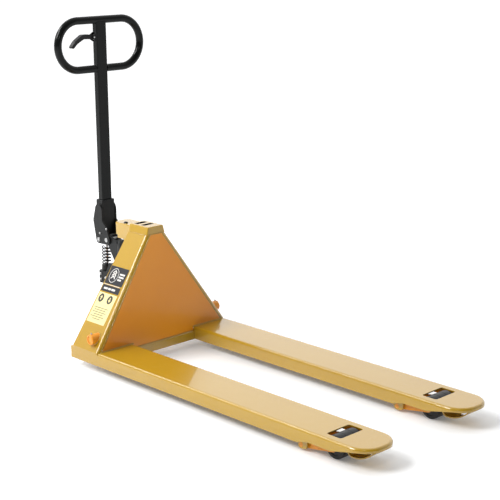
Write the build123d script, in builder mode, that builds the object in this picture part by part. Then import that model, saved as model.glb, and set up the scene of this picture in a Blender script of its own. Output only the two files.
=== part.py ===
"""Hand pallet jack: forks, bulkhead, lifting linkage, pump, steering and handle."""
import os
from math import asin, atan2, cos, degrees, hypot, radians, sin

from build123d import *

os.makedirs("parts", exist_ok=True)

# Overall sizes. Lengths are in millimetres, and x counts forward from the
# front plate's foot towards the fork tips; the left fork is on the +Y side.
overall_width = 610
overall_height = 1217
fork_length = 1246
fork_width = 160
fork_height = 75
lift_height = 115

# Forks
wall = 4
fork_wall_height = 47
tip_radius = 70
edge_radius = 9
nose_edge_height = 14
window_length = 58
window_width = 102
roller_setback = 155
stiffener_height = 26
stiffener_wall = 5
stiffener_offset = 50

# Bulkhead
bulkhead_height = 452
bulkhead_top_width = 86
bulkhead_depth = 142
bulkhead_top_depth = 132
heel_depth = 155
face_setback = 29
sheet = 6
fold_radius = 11
flange = 15
crossmember_top = 60
crossmember_plate = 5

# Head cap, ram and ball
cap_height = 28
cap_top_width = 70
cap_edge = 4
hook_width = 72
hook_reach = 26
hook_foot = 26
hook_drop = 8
hook_wall = 7
skirt_z = 414
gusset_x = -174
gusset_z = 382
ram_diameter = 36
ball_diameter = 18
ball_play = 0.1
ram_length = 166
gland_diameter = 60
gland_height = 17

# Lifting linkage
rocker_x = -42
rocker_z = 116
shaft_diameter = 25
boss_diameter = 37
boss_depth = 44
torsion_diameter = 44
torsion_length = 500
rocker_plate = 8
trunnion_z = 210
trunnion_diameter = 14
trunnion_play = 2.4
slot_bias = 2
slot_rim = 5
rod_pin_diameter = 12
rod_height = 12
rod_width = 24
rod_eye = 15
slot_play = 0.4

# Load brackets and rollers
roller_diameter = 74
roller_width = 90
roller_axle_diameter = 16
bracket_arm = 118
bracket_plate = 8
pivot_z = 18
pivot_diameter = 16
lever_length = 34
lug_plate = 8
side_play = 2

# Steering gear
steer_x = -207
wheel_diameter = 180
wheel_width = 46
wheel_track = 152
wheel_bore = 20
tyre_thickness = 22
spigot_diameter = 44
housing_diameter = 84
housing_height = 28
washer_height = 3
cylinder_diameter = 64

# Pump
piston_x = -325
piston_diameter = 18
piston_cap_diameter = 36
piston_cap_height = 6
piston_cap_z = 362
piston_stroke = 48
barrel_diameter = 38
barrel_top = 285
pump_block_top = 262
pump_block_foot = 215
pump_block_width = 48
neck_foot = 264
neck_height = 34
spring_wire = 4.2
spring_coils = 6
roller_rest_gap = 4.6

# Handle
handle_x = -321
tube_depth = 26
tube_width = 45
tube_wall = 2.5
tube_corner = 4
handle_pivot_x = -277
handle_pivot_z = 392
handle_pin_diameter = 16
press_roller_diameter = 28
press_roller_width = 24
press_pin_diameter = 10
ear_plate = 8
cheek_plate = 6
cheek_play = 1
base_width = 70
base_top = 538
sleeve_foot = 404
cheek_bulge_z = 458
cheek_head_z = 504
cheek_step_z = 462
sleeve_depth = 38
base_rear = 32
loop_width = 402
loop_tube = 28
loop_tube_wall = 2.5
loop_radius = 88

# Release gear
lever_root_y = -34
lever_root_z = 1142
lever_reach = 92
lever_drop = 30
lever_crown = 3
lever_depth = 19
lever_thickness = 17
lever_pin_diameter = 6
release_rod_diameter = 6
release_rod_y = -16
valve_x = -250
valve_pin_diameter = 6
chain_x = -265
chain_top = 370
chain_links = 5
chain_pin_radius = 1.7
chain_pin_offset = 0.4
link_pitch = 12
link_wire = 2.2
link_width = 9

# Running clearances
running = 0.05
gap = 0.3

# Places worked out from the sizes above.
rear_reach = -handle_x + base_rear
heel_x = (rear_reach - fork_length) / 2
fork_y = (overall_width - fork_width) / 2
roller_x = fork_length - roller_setback
roller_z = roller_diameter / 2
bracket_x = roller_x - bracket_arm
wheel_z = wheel_diameter / 2
loop_z = overall_height - loop_tube / 2 - loop_radius
loop_y = loop_width / 2 - loop_tube / 2 - loop_radius
tube_top = loop_z + loop_radius
housing_foot = trunnion_z - housing_height / 2
housing_top = trunnion_z + housing_height / 2
pump_foot = housing_top + washer_height
hook_z = bulkhead_height - hook_foot
ram_top = hook_z - 2
press_roller_z = piston_cap_z + piston_cap_height + roller_rest_gap + press_roller_diameter / 2

# The bracket turns until the roller has dropped by the lift.
bracket_radius = hypot(bracket_arm, roller_z - pivot_z)
bracket_start = asin((roller_z - pivot_z) / bracket_radius)
bracket_turn = bracket_start + asin((lift_height - roller_z + pivot_z) / bracket_radius)
lever_lean = bracket_turn / 2
lever_pin_x = bracket_x - lever_length * sin(lever_lean)
lever_pin_z = pivot_z + lever_length * cos(lever_lean)
rod_travel = 2 * lever_length * sin(bracket_turn / 2)
lever_rise = lever_length * (1 - cos(lever_lean))

# The rocker turns as its trunnions drop by the lift, and pushes the rods.
trunnion_reach = rocker_x - steer_x
trunnion_rise = trunnion_z - rocker_z
rocker_turn = atan2(trunnion_rise, trunnion_reach) + atan2(
    lift_height - trunnion_rise, trunnion_reach
)
rocker_lean = rocker_turn / 2
rod_arm_length = rod_travel / 2 / sin(rocker_turn / 2)
rod_pin_x = rocker_x - rod_arm_length * sin(rocker_lean)
rod_pin_z = rocker_z - rod_arm_length * cos(rocker_lean)
rod_dip = rod_arm_length * (1 - cos(rocker_lean))

# The valve lever's tip pin sits in the foot of the last link.
link_room = link_pitch + 2 * gap
link_foot = chain_top - (chain_links - 1) * link_pitch - link_room / 2
valve_z = link_foot + chain_pin_radius + gap
chain_pin_x = chain_x - chain_pin_offset


def side_view(y=0):
    """Local x forward and y up; extrusions go towards -Y."""
    return Plane(origin=(heel_x, y, 0), x_dir=(1, 0, 0), z_dir=(0, -1, 0))


def top_view(z=0):
    """Local x forward and y to the left; extrusions go up."""
    return Plane(origin=(heel_x, 0, z), x_dir=(1, 0, 0), z_dir=(0, 0, 1))


def front_view(x=0):
    """Local x to the left and y up; extrusions go forward."""
    return Plane(origin=(heel_x + x, 0, 0), x_dir=(0, 1, 0), z_dir=(1, 0, 0))


def save(piece, name):
    piece.part.label = name
    export_step(piece.part, f"parts/{name}.step")


def face_x(z):
    """Front plate's outer face at a height: it leans back above the forks."""
    return -face_setback * (z - fork_height) / (bulkhead_height - fork_height)


def slant_y(z, inset=0):
    """Side plate's outer face at a height above the forks, moved in by an inset."""
    rise = bulkhead_height - fork_height
    run = (overall_width - bulkhead_top_width) / 2
    return overall_width / 2 - run * (z - fork_height) / rise - inset * hypot(rise, run) / rise


sides = {"left": 1, "right": -1}
fork_foot = fork_height - fork_wall_height
plate_under = fork_height - wall
nose_foot = fork_height - nose_edge_height

# Forks: folded channels, open below, with a window over each load roller.
for side, sign in sides.items():
    with BuildPart() as fork:
        with BuildSketch(top_view(fork_foot)):
            with Locations((0, sign * fork_y)):
                outline = Rectangle(fork_length, fork_width, align=(Align.MIN, Align.CENTER))
            fillet(outline.vertices().group_by(Axis.X)[-1], tip_radius)
        extrude(amount=fork_wall_height)
        rim_edges = fork.faces().sort_by(Axis.Z)[-1].outer_wire().edges()
        fillet(rim_edges.filter_by(lambda edge: edge.center().X > heel_x + 1), edge_radius)
        with BuildSketch(top_view(fork_foot)):
            with Locations((0, sign * fork_y)):
                inside = Rectangle(
                    fork_length - wall, fork_width - 2 * wall, align=(Align.MIN, Align.CENTER)
                )
            fillet(inside.vertices().group_by(Axis.X)[-1], tip_radius - wall)
        extrude(amount=fork_wall_height - wall, mode=Mode.SUBTRACT)
        with BuildSketch(top_view(fork_foot)):
            with Locations((roller_x, sign * fork_y)):
                RectangleRounded(window_length, window_width, 2 * wall)
        extrude(amount=fork_wall_height, mode=Mode.SUBTRACT)
        with BuildSketch(side_view(sign * fork_y)):
            Polygon(
                (bracket_x - 10, fork_foot),
                (bracket_x + 35, fork_foot + 12),
                (roller_x + 12, fork_foot + 12),
                (roller_x + 85, nose_foot - 4),
                (roller_x + 110, nose_foot),
                (fork_length, nose_foot),
                (fork_length, fork_foot),
                align=None,
            )
        extrude(amount=fork_width / 2, both=True, mode=Mode.SUBTRACT)
        with BuildSketch(side_view(sign * fork_y)):
            Polygon(
                (0, fork_height),
                (face_x(fork_foot), fork_foot),
                (0, fork_foot),
                align=None,
            )
        extrude(amount=fork_width / 2, both=True, mode=Mode.SUBTRACT)
    save(fork, f"fork_{side}")

# Stiffeners: two flat bars on edge under each fork's top plate.
with BuildPart() as fork_stiffeners:
    stiffener_length = bracket_x - 3 * stiffener_offset / 2 - stiffener_height
    for sign in sides.values():
        for offset in (-stiffener_offset, stiffener_offset):
            with BuildSketch(top_view(plate_under)):
                with Locations((stiffener_height, sign * fork_y + offset)):
                    Rectangle(stiffener_length, stiffener_wall, align=(Align.MIN, Align.CENTER))
            extrude(amount=-stiffener_height)
save(fork_stiffeners, "fork_stiffeners")

# Pivot lugs: plates under the fork that carry each load bracket's pin.
bracket_half = roller_width / 2 + side_play + bracket_plate
lug_inner = bracket_half + side_play
with BuildPart() as pivot_lugs:
    for sign in sides.values():
        for offset in (-lug_inner, lug_inner + lug_plate):
            with BuildSketch(side_view(sign * fork_y + offset)):
                Polygon(
                    (bracket_x - 44, plate_under),
                    (bracket_x - 36, fork_foot + 2),
                    (bracket_x + 8, pivot_z - 12),
                    (bracket_x + 22, pivot_z - 8),
                    (bracket_x + 34, plate_under),
                    align=None,
                )
                with Locations((bracket_x, pivot_z)):
                    Circle(pivot_diameter / 2 + 5)
                    Circle(pivot_diameter / 2, mode=Mode.SUBTRACT)
            extrude(amount=lug_plate)
save(pivot_lugs, "pivot_lugs")

with BuildPart() as bracket_pivots:
    for sign in sides.values():
        with BuildSketch(side_view(sign * fork_y)):
            with Locations((bracket_x, pivot_z)):
                Circle(pivot_diameter / 2)
        extrude(amount=lug_inner + lug_plate, both=True)
save(bracket_pivots, "bracket_pivots")

# Nose shoes: curved skids that lead each fork tip into a pallet.
shoe_start = roller_x + roller_diameter / 2 + 12
for side, sign in sides.items():
    with BuildPart() as nose_shoe:
        with BuildSketch(side_view(sign * fork_y)):
            with BuildLine():
                Line((shoe_start, plate_under), (shoe_start, fork_foot + 12))
                ThreePointArc(
                    (shoe_start, fork_foot + 12),
                    (shoe_start + 5, fork_foot + 2),
                    (shoe_start + 16, fork_foot - 2),
                )
                ThreePointArc(
                    (shoe_start + 16, fork_foot - 2),
                    (shoe_start + 64, fork_foot + 8),
                    (fork_length - 2.5 * wall, nose_foot - 2),
                )
            trace(line_width=wall)
        extrude(amount=roller_width / 2 - side_play, both=True)
        with BuildSketch(side_view(sign * fork_y)):
            with Locations((shoe_start, plate_under)):
                Rectangle(4 * wall, wall, align=(Align.CENTER, Align.MIN))
        extrude(amount=roller_width / 2, both=True, mode=Mode.SUBTRACT)
    save(nose_shoe, f"nose_shoe_{side}")


def bulkhead_block(inset):
    """Solid block of the bulkhead's outer shape, moved in by an inset."""
    half_width = overall_width / 2 - inset
    foot = fork_foot - (1 if inset else 0)
    head = bulkhead_height + (1 if inset else 0)
    rear = -2 * heel_depth if inset else -heel_depth
    with BuildPart() as block:
        with BuildSketch(front_view(rear)):
            Polygon(
                (-half_width, foot),
                (half_width, foot),
                (half_width, fork_height),
                (slant_y(head, inset), head),
                (-slant_y(head, inset), head),
                (-half_width, fork_height),
                align=None,
            )
        extrude(amount=-rear + heel_depth)
        with BuildSketch(side_view()):
            Polygon(
                (face_x(foot) - inset, foot),
                (heel_depth, foot),
                (heel_depth, head),
                (face_x(head) - inset, head),
                align=None,
            )
        extrude(amount=overall_width, both=True, mode=Mode.SUBTRACT)
        front_face = block.faces().filter_by(lambda face: face.normal_at().X > 0.9)
        slanted = front_face.edges().filter_by(
            lambda edge: abs(edge.tangent_at(0.5).Z) > 0.2 and edge.center().Z > fork_height + 20
        )
        fillet(slanted, fold_radius - inset)
    return block.part


bulkhead_shell = bulkhead_block(0) - bulkhead_block(sheet)

# Side plates: folded sheet with a rounded front edge, holed for the rocker.
for side, sign in sides.items():
    with BuildPart() as side_plate:
        add(bulkhead_shell)
        with BuildSketch(front_view(-heel_depth)):
            Polygon(
                (sign * overall_width, fork_foot),
                (sign * (overall_width / 2 - sheet), fork_foot),
                (sign * (overall_width / 2 - sheet), plate_under),
                (sign * slant_y(fork_height, flange), plate_under),
                (sign * slant_y(bulkhead_height, flange), bulkhead_height),
                (sign * overall_width, bulkhead_height),
                align=None,
            )
        extrude(amount=2 * heel_depth, mode=Mode.INTERSECT)
        with BuildSketch(side_view()):
            Polygon(
                (-heel_depth, fork_height - 5),
                (-bulkhead_depth, fork_height),
                (-bulkhead_top_depth, bulkhead_height),
                (-heel_depth, bulkhead_height),
                align=None,
            )
            with Locations((rocker_x, rocker_z)):
                Circle(boss_diameter / 2)
        extrude(amount=overall_width, both=True, mode=Mode.SUBTRACT)
    save(side_plate, f"side_plate_{side}")

# Front plate: the sheet between the two folds, down to the top of the forks.
with BuildPart() as front_plate:
    add(bulkhead_shell)
    inner_y = fork_y - fork_width / 2
    with BuildSketch(front_view(-heel_depth)):
        Polygon(
            (-inner_y, fork_foot),
            (inner_y, fork_foot),
            (inner_y, plate_under),
            (slant_y(fork_height, flange), plate_under),
            (slant_y(bulkhead_height, flange), bulkhead_height),
            (-slant_y(bulkhead_height, flange), bulkhead_height),
            (-slant_y(fork_height, flange), plate_under),
            (-inner_y, plate_under),
            align=None,
        )
    extrude(amount=2 * heel_depth, mode=Mode.INTERSECT)
save(front_plate, "front_plate")

with BuildPart() as crossmember:
    with BuildSketch(side_view()):
        Polygon(
            (face_x(fork_foot), fork_foot),
            (face_x(fork_foot) + crossmember_plate, fork_foot),
            (face_x(crossmember_top) + crossmember_plate, crossmember_top - 3),
            (face_x(crossmember_top) + 1, crossmember_top),
            (face_x(crossmember_top), crossmember_top),
            align=None,
        )
    extrude(amount=fork_y - fork_width / 2, both=True)
save(crossmember, "crossmember")

# Head cap: a tapered block on the bulkhead, with a hook out over the ram.
cap_rear = -bulkhead_top_depth
hook_rear = steer_x - hook_reach
with BuildPart() as head_cap:
    with BuildSketch(front_view(cap_rear)):
        Polygon(
            (-bulkhead_top_width / 2, bulkhead_height),
            (bulkhead_top_width / 2, bulkhead_height),
            (cap_top_width / 2, bulkhead_height + cap_height),
            (-cap_top_width / 2, bulkhead_height + cap_height),
            align=None,
        )
    extrude(amount=-cap_rear - face_setback)
    fillet(head_cap.edges().filter_by(Axis.X).group_by(Axis.Z)[-1], cap_edge)
    fillet(head_cap.faces().sort_by(Axis.X)[-1].edges().group_by(Axis.Z)[-1], cap_edge)
    with BuildSketch(top_view(hook_z)):
        with Locations((cap_rear, 0)):
            hook = Rectangle(cap_rear - hook_rear, hook_width, align=(Align.MAX, Align.CENTER))
        fillet(hook.vertices().group_by(Axis.X)[0], hook_reach)
    extrude(amount=hook_foot + cap_height - hook_drop)
    for near_face in (-hook_width / 2 + hook_wall, hook_width / 2):
        with BuildSketch(side_view(near_face)):
            Polygon(
                (hook_rear + hook_reach, hook_z + 2),
                (hook_rear + hook_reach, skirt_z),
                (gusset_x, skirt_z),
                (cap_rear - 4, gusset_z),
                (cap_rear + 8, gusset_z),
                (cap_rear + 8, hook_z + 2),
                align=None,
            )
        extrude(amount=hook_wall)
    hook_top = bulkhead_height + cap_height - hook_drop
    hook_rim = head_cap.edges().filter_by(
        lambda edge: abs(edge.center().Z - hook_top) < 1 and edge.center().X < heel_x + cap_rear - 1
    )
    fillet(hook_rim, cap_edge)
    with BuildSketch(top_view(hook_z)):
        with Locations((steer_x, 0)):
            Circle(ball_diameter / 2 + ball_play)
    extrude(amount=ball_diameter * 0.65, mode=Mode.SUBTRACT)
save(head_cap, "head_cap")

ball_z = hook_z + ball_diameter * 0.65 - ball_diameter / 2 - ball_play
with BuildPart() as ram:
    with BuildSketch(top_view(ram_top)):
        with Locations((steer_x, 0)):
            Circle(ram_diameter / 2)
    extrude(amount=-ram_length)
    chamfer(ram.edges().filter_by(GeomType.CIRCLE), 1)
    with BuildSketch(top_view(ram_top)):
        with Locations((steer_x, 0)):
            Circle(ball_diameter / 2 + ball_play)
    extrude(amount=-(ram_top - ball_z + ball_diameter / 2 + ball_play), mode=Mode.SUBTRACT)
save(ram, "ram")

with BuildPart() as thrust_ball:
    with Locations((heel_x + steer_x, 0, ball_z)):
        Sphere(ball_diameter / 2)
save(thrust_ball, "thrust_ball")

# Shaft bosses: bearing sleeves through the side plates.
for side, sign in sides.items():
    boss_end = overall_width / 2
    with BuildPart() as shaft_boss:
        with BuildSketch(side_view(sign * boss_end)):
            with Locations((rocker_x, rocker_z)):
                Circle(boss_diameter / 2)
                Circle(shaft_diameter / 2 + running, mode=Mode.SUBTRACT)
        extrude(amount=sign * boss_depth)
        outer_rim = shaft_boss.faces().sort_by(Axis.Y)[-1 if sign > 0 else 0].outer_wire().edges()
        chamfer(outer_rim, 2)
    save(shaft_boss, f"shaft_boss_{side}")

# Rocker: shaft, torsion tube, centre arms to the pump and arms to the rods.
with BuildPart() as rocker_shaft:
    with BuildSketch(side_view()):
        with Locations((rocker_x, rocker_z)):
            Circle(shaft_diameter / 2)
    extrude(amount=overall_width / 2 - 2, both=True)
save(rocker_shaft, "rocker_shaft")

with BuildPart() as torsion_tube:
    with BuildSketch(side_view()):
        with Locations((rocker_x, rocker_z)):
            Circle(torsion_diameter / 2)
            Circle(shaft_diameter / 2, mode=Mode.SUBTRACT)
    extrude(amount=torsion_length / 2, both=True)
save(torsion_tube, "torsion_tube")

wheel_inner = wheel_track / 2 - wheel_width / 2
arm_inner = housing_diameter / 2 + side_play + side_play
arm_outer = arm_inner + rocker_plate
arm_foot = wheel_diameter + 4
arm_head = arm_foot + 40
sweep_x = steer_x + hypot(wheel_diameter / 2, wheel_track / 2 + wheel_width / 2)
trunnion_angle = atan2(trunnion_rise, trunnion_reach)
slot_near = trunnion_reach - trunnion_play
slot_far = hypot(trunnion_reach, trunnion_rise) + trunnion_play
slot_half = trunnion_diameter / 2 + trunnion_play


def along_arm(reach):
    """Point on the slot's middle line, at a distance from the rocker's axis."""
    return (
        rocker_x - reach * cos(trunnion_angle) + slot_bias * sin(trunnion_angle),
        rocker_z + reach * sin(trunnion_angle) + slot_bias * cos(trunnion_angle),
    )


with BuildPart() as rocker_arms:
    for near_face in (-arm_inner, arm_inner + rocker_plate):
        with BuildSketch(side_view(near_face)):
            with Locations(along_arm(slot_far)):
                Circle(slot_half + slot_rim)
            with Locations(along_arm(slot_near)):
                Circle(slot_half + slot_rim)
            make_hull()
            Polygon(
                (sweep_x + 4, rocker_z - torsion_diameter / 2),
                (sweep_x + 4, arm_foot),
                (along_arm(slot_near)[0] - slot_rim, arm_foot),
                along_arm(slot_near),
                along_arm(slot_far - slot_half),
                (along_arm(slot_far - slot_half)[0] + slot_rim, arm_head),
                (sweep_x - 18, arm_head),
                (rocker_x + torsion_diameter / 2 + 4, rocker_z + 12),
                (rocker_x + torsion_diameter / 2 + 4, rocker_z - 12),
                (rocker_x, rocker_z - torsion_diameter / 2 - 4),
                align=None,
            )
            with Locations((rocker_x, rocker_z)):
                Circle(torsion_diameter / 2, mode=Mode.SUBTRACT)
            with Locations(along_arm((slot_far + slot_near) / 2)):
                SlotCenterToCenter(
                    slot_far - slot_near,
                    2 * slot_half,
                    rotation=-degrees(trunnion_angle),
                    mode=Mode.SUBTRACT,
                )
        extrude(amount=rocker_plate)
save(rocker_arms, "rocker_arms")

with BuildPart() as rod_arms:
    for sign in sides.values():
        for offset in (-rod_eye / 2 - 1, rod_eye / 2 + 1 + rocker_plate):
            with BuildSketch(side_view(sign * fork_y + offset)):
                with Locations((rocker_x, rocker_z)):
                    Circle(torsion_diameter / 2 + 6)
                with Locations((rod_pin_x, rod_pin_z)):
                    Circle(rod_pin_diameter / 2 + 5)
                make_hull()
                with Locations((rocker_x, rocker_z)):
                    Circle(torsion_diameter / 2, mode=Mode.SUBTRACT)
                with Locations((rod_pin_x, rod_pin_z)):
                    Circle(rod_pin_diameter / 2, mode=Mode.SUBTRACT)
            extrude(amount=rocker_plate)
save(rod_arms, "rod_arms")

with BuildPart() as rod_pins:
    for sign in sides.values():
        with BuildSketch(side_view(sign * fork_y)):
            with Locations((rod_pin_x, rod_pin_z)):
                Circle(rod_pin_diameter / 2)
        extrude(amount=rod_eye / 2 + 1 + rocker_plate + 3, both=True)
save(rod_pins, "rod_pins")

# Push rods: flat bars from the rocker to the load brackets. The front eye is
# slotted upwards, because the bracket's lever rises and falls on its way.
rod_slope = atan2(lever_pin_z - rod_pin_z, lever_pin_x - rod_pin_x)
rod_eye_radius = rod_pin_diameter / 2 + 5
slot_rise = lever_rise + rod_dip + slot_play
for side, sign in sides.items():
    with BuildPart() as push_rod:
        with BuildSketch(side_view(sign * fork_y)):
            with Locations((rod_pin_x, rod_pin_z)):
                Circle(rod_eye_radius)
            with Locations((lever_pin_x, lever_pin_z + slot_rise / 2)):
                SlotCenterToCenter(slot_rise, 2 * rod_eye_radius - 2, rotation=90)
            with BuildLine():
                Line((rod_pin_x, rod_pin_z), (lever_pin_x, lever_pin_z))
            trace(line_width=rod_height)
        extrude(amount=rod_eye / 2, both=True)
        with BuildSketch(side_view(sign * fork_y)):
            with BuildLine():
                rod_inset = 3 * rod_width
                Line(
                    (rod_pin_x + rod_inset, rod_pin_z + rod_inset * sin(rod_slope)),
                    (lever_pin_x - rod_inset, lever_pin_z - rod_inset * sin(rod_slope)),
                )
            trace(line_width=rod_height)
        extrude(amount=rod_width / 2, both=True)
        with BuildSketch(side_view(sign * fork_y)):
            with Locations((rod_pin_x, rod_pin_z)):
                Circle(rod_pin_diameter / 2 + running)
            with Locations((lever_pin_x, lever_pin_z + slot_rise / 2)):
                SlotCenterToCenter(slot_rise, rod_pin_diameter + 2 * slot_play, rotation=90)
        extrude(amount=rod_eye, both=True, mode=Mode.SUBTRACT)
    save(push_rod, f"push_rod_{side}")

# Load brackets: two arms on a cross tube, with a forked lever for the rod.
pivot_eye = pivot_diameter / 2 + 5
for side, sign in sides.items():
    middle = sign * fork_y
    with BuildPart() as load_bracket:
        for near_face in (-bracket_half + bracket_plate, bracket_half):
            with BuildSketch(side_view(middle + near_face)):
                with Locations((bracket_x, pivot_z)):
                    Circle(pivot_eye - 1)
                with Locations((roller_x, roller_z)):
                    Circle(roller_axle_diameter / 2 + 4)
                make_hull()
            extrude(amount=bracket_plate)
        with BuildSketch(side_view(middle)):
            with Locations((bracket_x, pivot_z)):
                Circle(pivot_eye - 2)
        extrude(amount=bracket_half, both=True)
        for near_face in (-rod_eye / 2 - 1, rod_eye / 2 + 1 + bracket_plate):
            with BuildSketch(side_view(middle + near_face)):
                with Locations((bracket_x, pivot_z)):
                    Circle(pivot_eye - 1)
                with Locations((lever_pin_x, lever_pin_z)):
                    Circle(rod_pin_diameter / 2 + 4)
                make_hull()
            extrude(amount=bracket_plate)
        with BuildSketch(side_view(middle)):
            with Locations((bracket_x, pivot_z)):
                Circle(pivot_diameter / 2 + running)
            with Locations((roller_x, roller_z)):
                Circle(roller_axle_diameter / 2)
            with Locations((lever_pin_x, lever_pin_z)):
                Circle(rod_pin_diameter / 2)
        extrude(amount=fork_width / 2, both=True, mode=Mode.SUBTRACT)
    save(load_bracket, f"load_bracket_{side}")

    with BuildPart() as lever_pin:
        with BuildSketch(side_view(middle)):
            with Locations((lever_pin_x, lever_pin_z)):
                Circle(rod_pin_diameter / 2)
        extrude(amount=rod_eye / 2 + 1 + bracket_plate, both=True)
    save(lever_pin, f"lever_pin_{side}")

    with BuildPart() as roller_axle:
        with BuildSketch(side_view(middle)):
            with Locations((roller_x, roller_z)):
                Circle(roller_axle_diameter / 2)
        extrude(amount=bracket_half, both=True)
    save(roller_axle, f"roller_axle_{side}")

    with BuildPart() as load_roller:
        with BuildSketch(side_view(middle)):
            with Locations((roller_x, roller_z)):
                Circle(roller_diameter / 2)
                Circle(roller_axle_diameter / 2 + running, mode=Mode.SUBTRACT)
        extrude(amount=roller_width / 2, both=True)
        rims = load_roller.faces().filter_by(Axis.Y)
        chamfer([face.outer_wire().edges()[0] for face in rims], 3)
    save(load_roller, f"load_roller_{side}")

# Thrust housing: the collar on the trunnions that the pump turns in.
with BuildPart() as thrust_housing:
    with BuildSketch(top_view(housing_foot)):
        with Locations((steer_x, 0)):
            Circle(housing_diameter / 2)
            Circle(spigot_diameter / 2 + running, mode=Mode.SUBTRACT)
    extrude(amount=housing_height)
    chamfer(thrust_housing.edges().filter_by(GeomType.CIRCLE).sort_by(SortBy.RADIUS)[-2:], 2)
save(thrust_housing, "thrust_housing")

pin_seat = housing_diameter / 2 - 2
with BuildPart() as trunnion_pins:
    with BuildSketch(side_view()):
        with Locations((steer_x, trunnion_z)):
            Circle(trunnion_diameter / 2)
    extrude(amount=arm_inner + rocker_plate + 2, both=True)
    with BuildSketch(top_view(housing_foot)):
        with Locations((steer_x, 0)):
            Circle(housing_diameter / 2)
    extrude(amount=housing_height, mode=Mode.SUBTRACT)
save(trunnion_pins, "trunnion_pins")

with BuildPart() as thrust_washer:
    with BuildSketch(top_view(housing_top)):
        with Locations((steer_x, 0)):
            Circle(housing_diameter / 2 - 8)
            Circle(spigot_diameter / 2 + gap, mode=Mode.SUBTRACT)
    extrude(amount=washer_height - gap / 2)
save(thrust_washer, "thrust_washer")

# Pump body: cylinder for the ram, spigot below and the pump block behind.
gland_foot = ram_top - 22 - gland_height
cylinder_top = gland_foot
bore_foot = ram_top - ram_length - 10
block_rear = piston_x - barrel_diameter / 2 - 3
axle_block_top = arm_foot - side_play
spigot_foot = axle_block_top - 40
with BuildPart() as pump_body:
    with BuildSketch(top_view(spigot_foot)):
        with Locations((steer_x, 0)):
            Circle(spigot_diameter / 2)
    extrude(amount=pump_foot - spigot_foot)
    with BuildSketch(top_view(pump_foot)):
        with Locations((steer_x, 0)):
            Circle(housing_diameter / 2 - 6)
    extrude(amount=cylinder_top - pump_foot - 90)
    with BuildSketch(top_view(pump_foot)):
        with Locations((steer_x, 0)):
            Circle(cylinder_diameter / 2)
    extrude(amount=cylinder_top - pump_foot)
    collar_rim = pump_body.edges().filter_by(GeomType.CIRCLE).filter_by(
        lambda edge: abs(edge.center().Z - cylinder_top + 90) < 1
    )
    fillet(collar_rim.sort_by(SortBy.RADIUS)[-1], 3)
    with BuildSketch(side_view()):
        Polygon(
            (steer_x, neck_foot),
            (steer_x - arm_outer - 6, neck_foot),
            (steer_x - housing_diameter - 2, pump_block_foot),
            (block_rear, pump_block_foot),
            (block_rear, pump_block_top),
            (piston_x + barrel_diameter / 2 + 6, pump_block_top),
            (piston_x + barrel_diameter / 2 + 24, neck_foot + neck_height),
            (steer_x, neck_foot + neck_height),
            align=None,
        )
    extrude(amount=pump_block_width / 2, both=True)
    fillet(pump_body.edges().filter_by(Axis.Z).group_by(Axis.X)[0], 8)
    with BuildSketch(side_view()):
        Polygon(
            (steer_x, valve_z - 12),
            (valve_x - 5, valve_z - 12),
            (valve_x - 5, valve_z + 9),
            (steer_x, valve_z + 9),
            align=None,
        )
    extrude(amount=14, both=True)
    with BuildSketch(side_view()):
        with Locations((valve_x, valve_z)):
            Rectangle(22, 40)
    extrude(amount=5, both=True, mode=Mode.SUBTRACT)
    with BuildSketch(side_view()):
        with Locations((valve_x, valve_z)):
            Circle(valve_pin_diameter / 2)
    extrude(amount=14, both=True)
    with BuildSketch(top_view(cylinder_top)):
        with Locations((steer_x, 0)):
            Circle(ram_diameter / 2 + running)
    extrude(amount=bore_foot - cylinder_top, mode=Mode.SUBTRACT)
    with BuildSketch(top_view(pump_block_top + 20)):
        with Locations((piston_x, 0)):
            Circle(piston_diameter / 2 + running)
    extrude(amount=-(pump_block_top + 20 - pump_block_foot - 7), mode=Mode.SUBTRACT)
    with BuildSketch(top_view(pump_block_top)):
        with Locations((piston_x, 0)):
            Circle(barrel_diameter / 2)
    extrude(amount=barrel_diameter, mode=Mode.SUBTRACT)
save(pump_body, "pump_body")

with BuildPart() as ram_gland:
    with BuildSketch(top_view(gland_foot)):
        with Locations((steer_x, 0)):
            Circle(gland_diameter / 2)
            Circle(ram_diameter / 2 + running, mode=Mode.SUBTRACT)
    extrude(amount=gland_height)
    chamfer(ram_gland.edges().group_by(Axis.Z)[-1], 1.5)
save(ram_gland, "ram_gland")

with BuildPart() as pump_barrel:
    with BuildSketch(top_view(pump_block_top)):
        with Locations((piston_x, 0)):
            Circle(barrel_diameter / 2)
            Circle(piston_diameter / 2 + running, mode=Mode.SUBTRACT)
    extrude(amount=barrel_top - pump_block_top)
    chamfer(pump_barrel.faces().sort_by(Axis.Z)[-1].outer_wire().edges(), 2)
save(pump_barrel, "pump_barrel")

# Piston spring: a round-wire coil between the barrel and the piston's cap.
with BuildPart() as piston_spring:
    spring_radius = piston_cap_diameter / 2 - spring_wire / 2
    free_height = piston_cap_z - barrel_top - spring_wire - 2 * gap
    coil_plane = Plane.XY.offset(barrel_top + spring_wire / 2 + gap)
    with BuildLine(
        Plane(origin=(heel_x + piston_x, 0, coil_plane.origin.Z), z_dir=(0, 0, 1))
    ) as coil:
        Helix(free_height / spring_coils, free_height, spring_radius)
    with BuildSketch(Plane(origin=coil.line @ 0, z_dir=coil.line % 0)):
        Circle(spring_wire / 2)
    sweep(path=coil.line, is_frenet=True)
save(piston_spring, "piston_spring")

with BuildPart() as pump_piston:
    with BuildSketch(top_view(piston_cap_z)):
        with Locations((piston_x, 0)):
            Circle(piston_cap_diameter / 2)
    extrude(amount=piston_cap_height)
    chamfer(pump_piston.edges().group_by(Axis.Z)[-1], 1.5)
    with BuildSketch(top_view(barrel_top - 10)):
        with Locations((piston_x, 0)):
            Circle(piston_diameter / 2)
    extrude(amount=piston_cap_z - barrel_top + 10)
save(pump_piston, "pump_piston")

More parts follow.
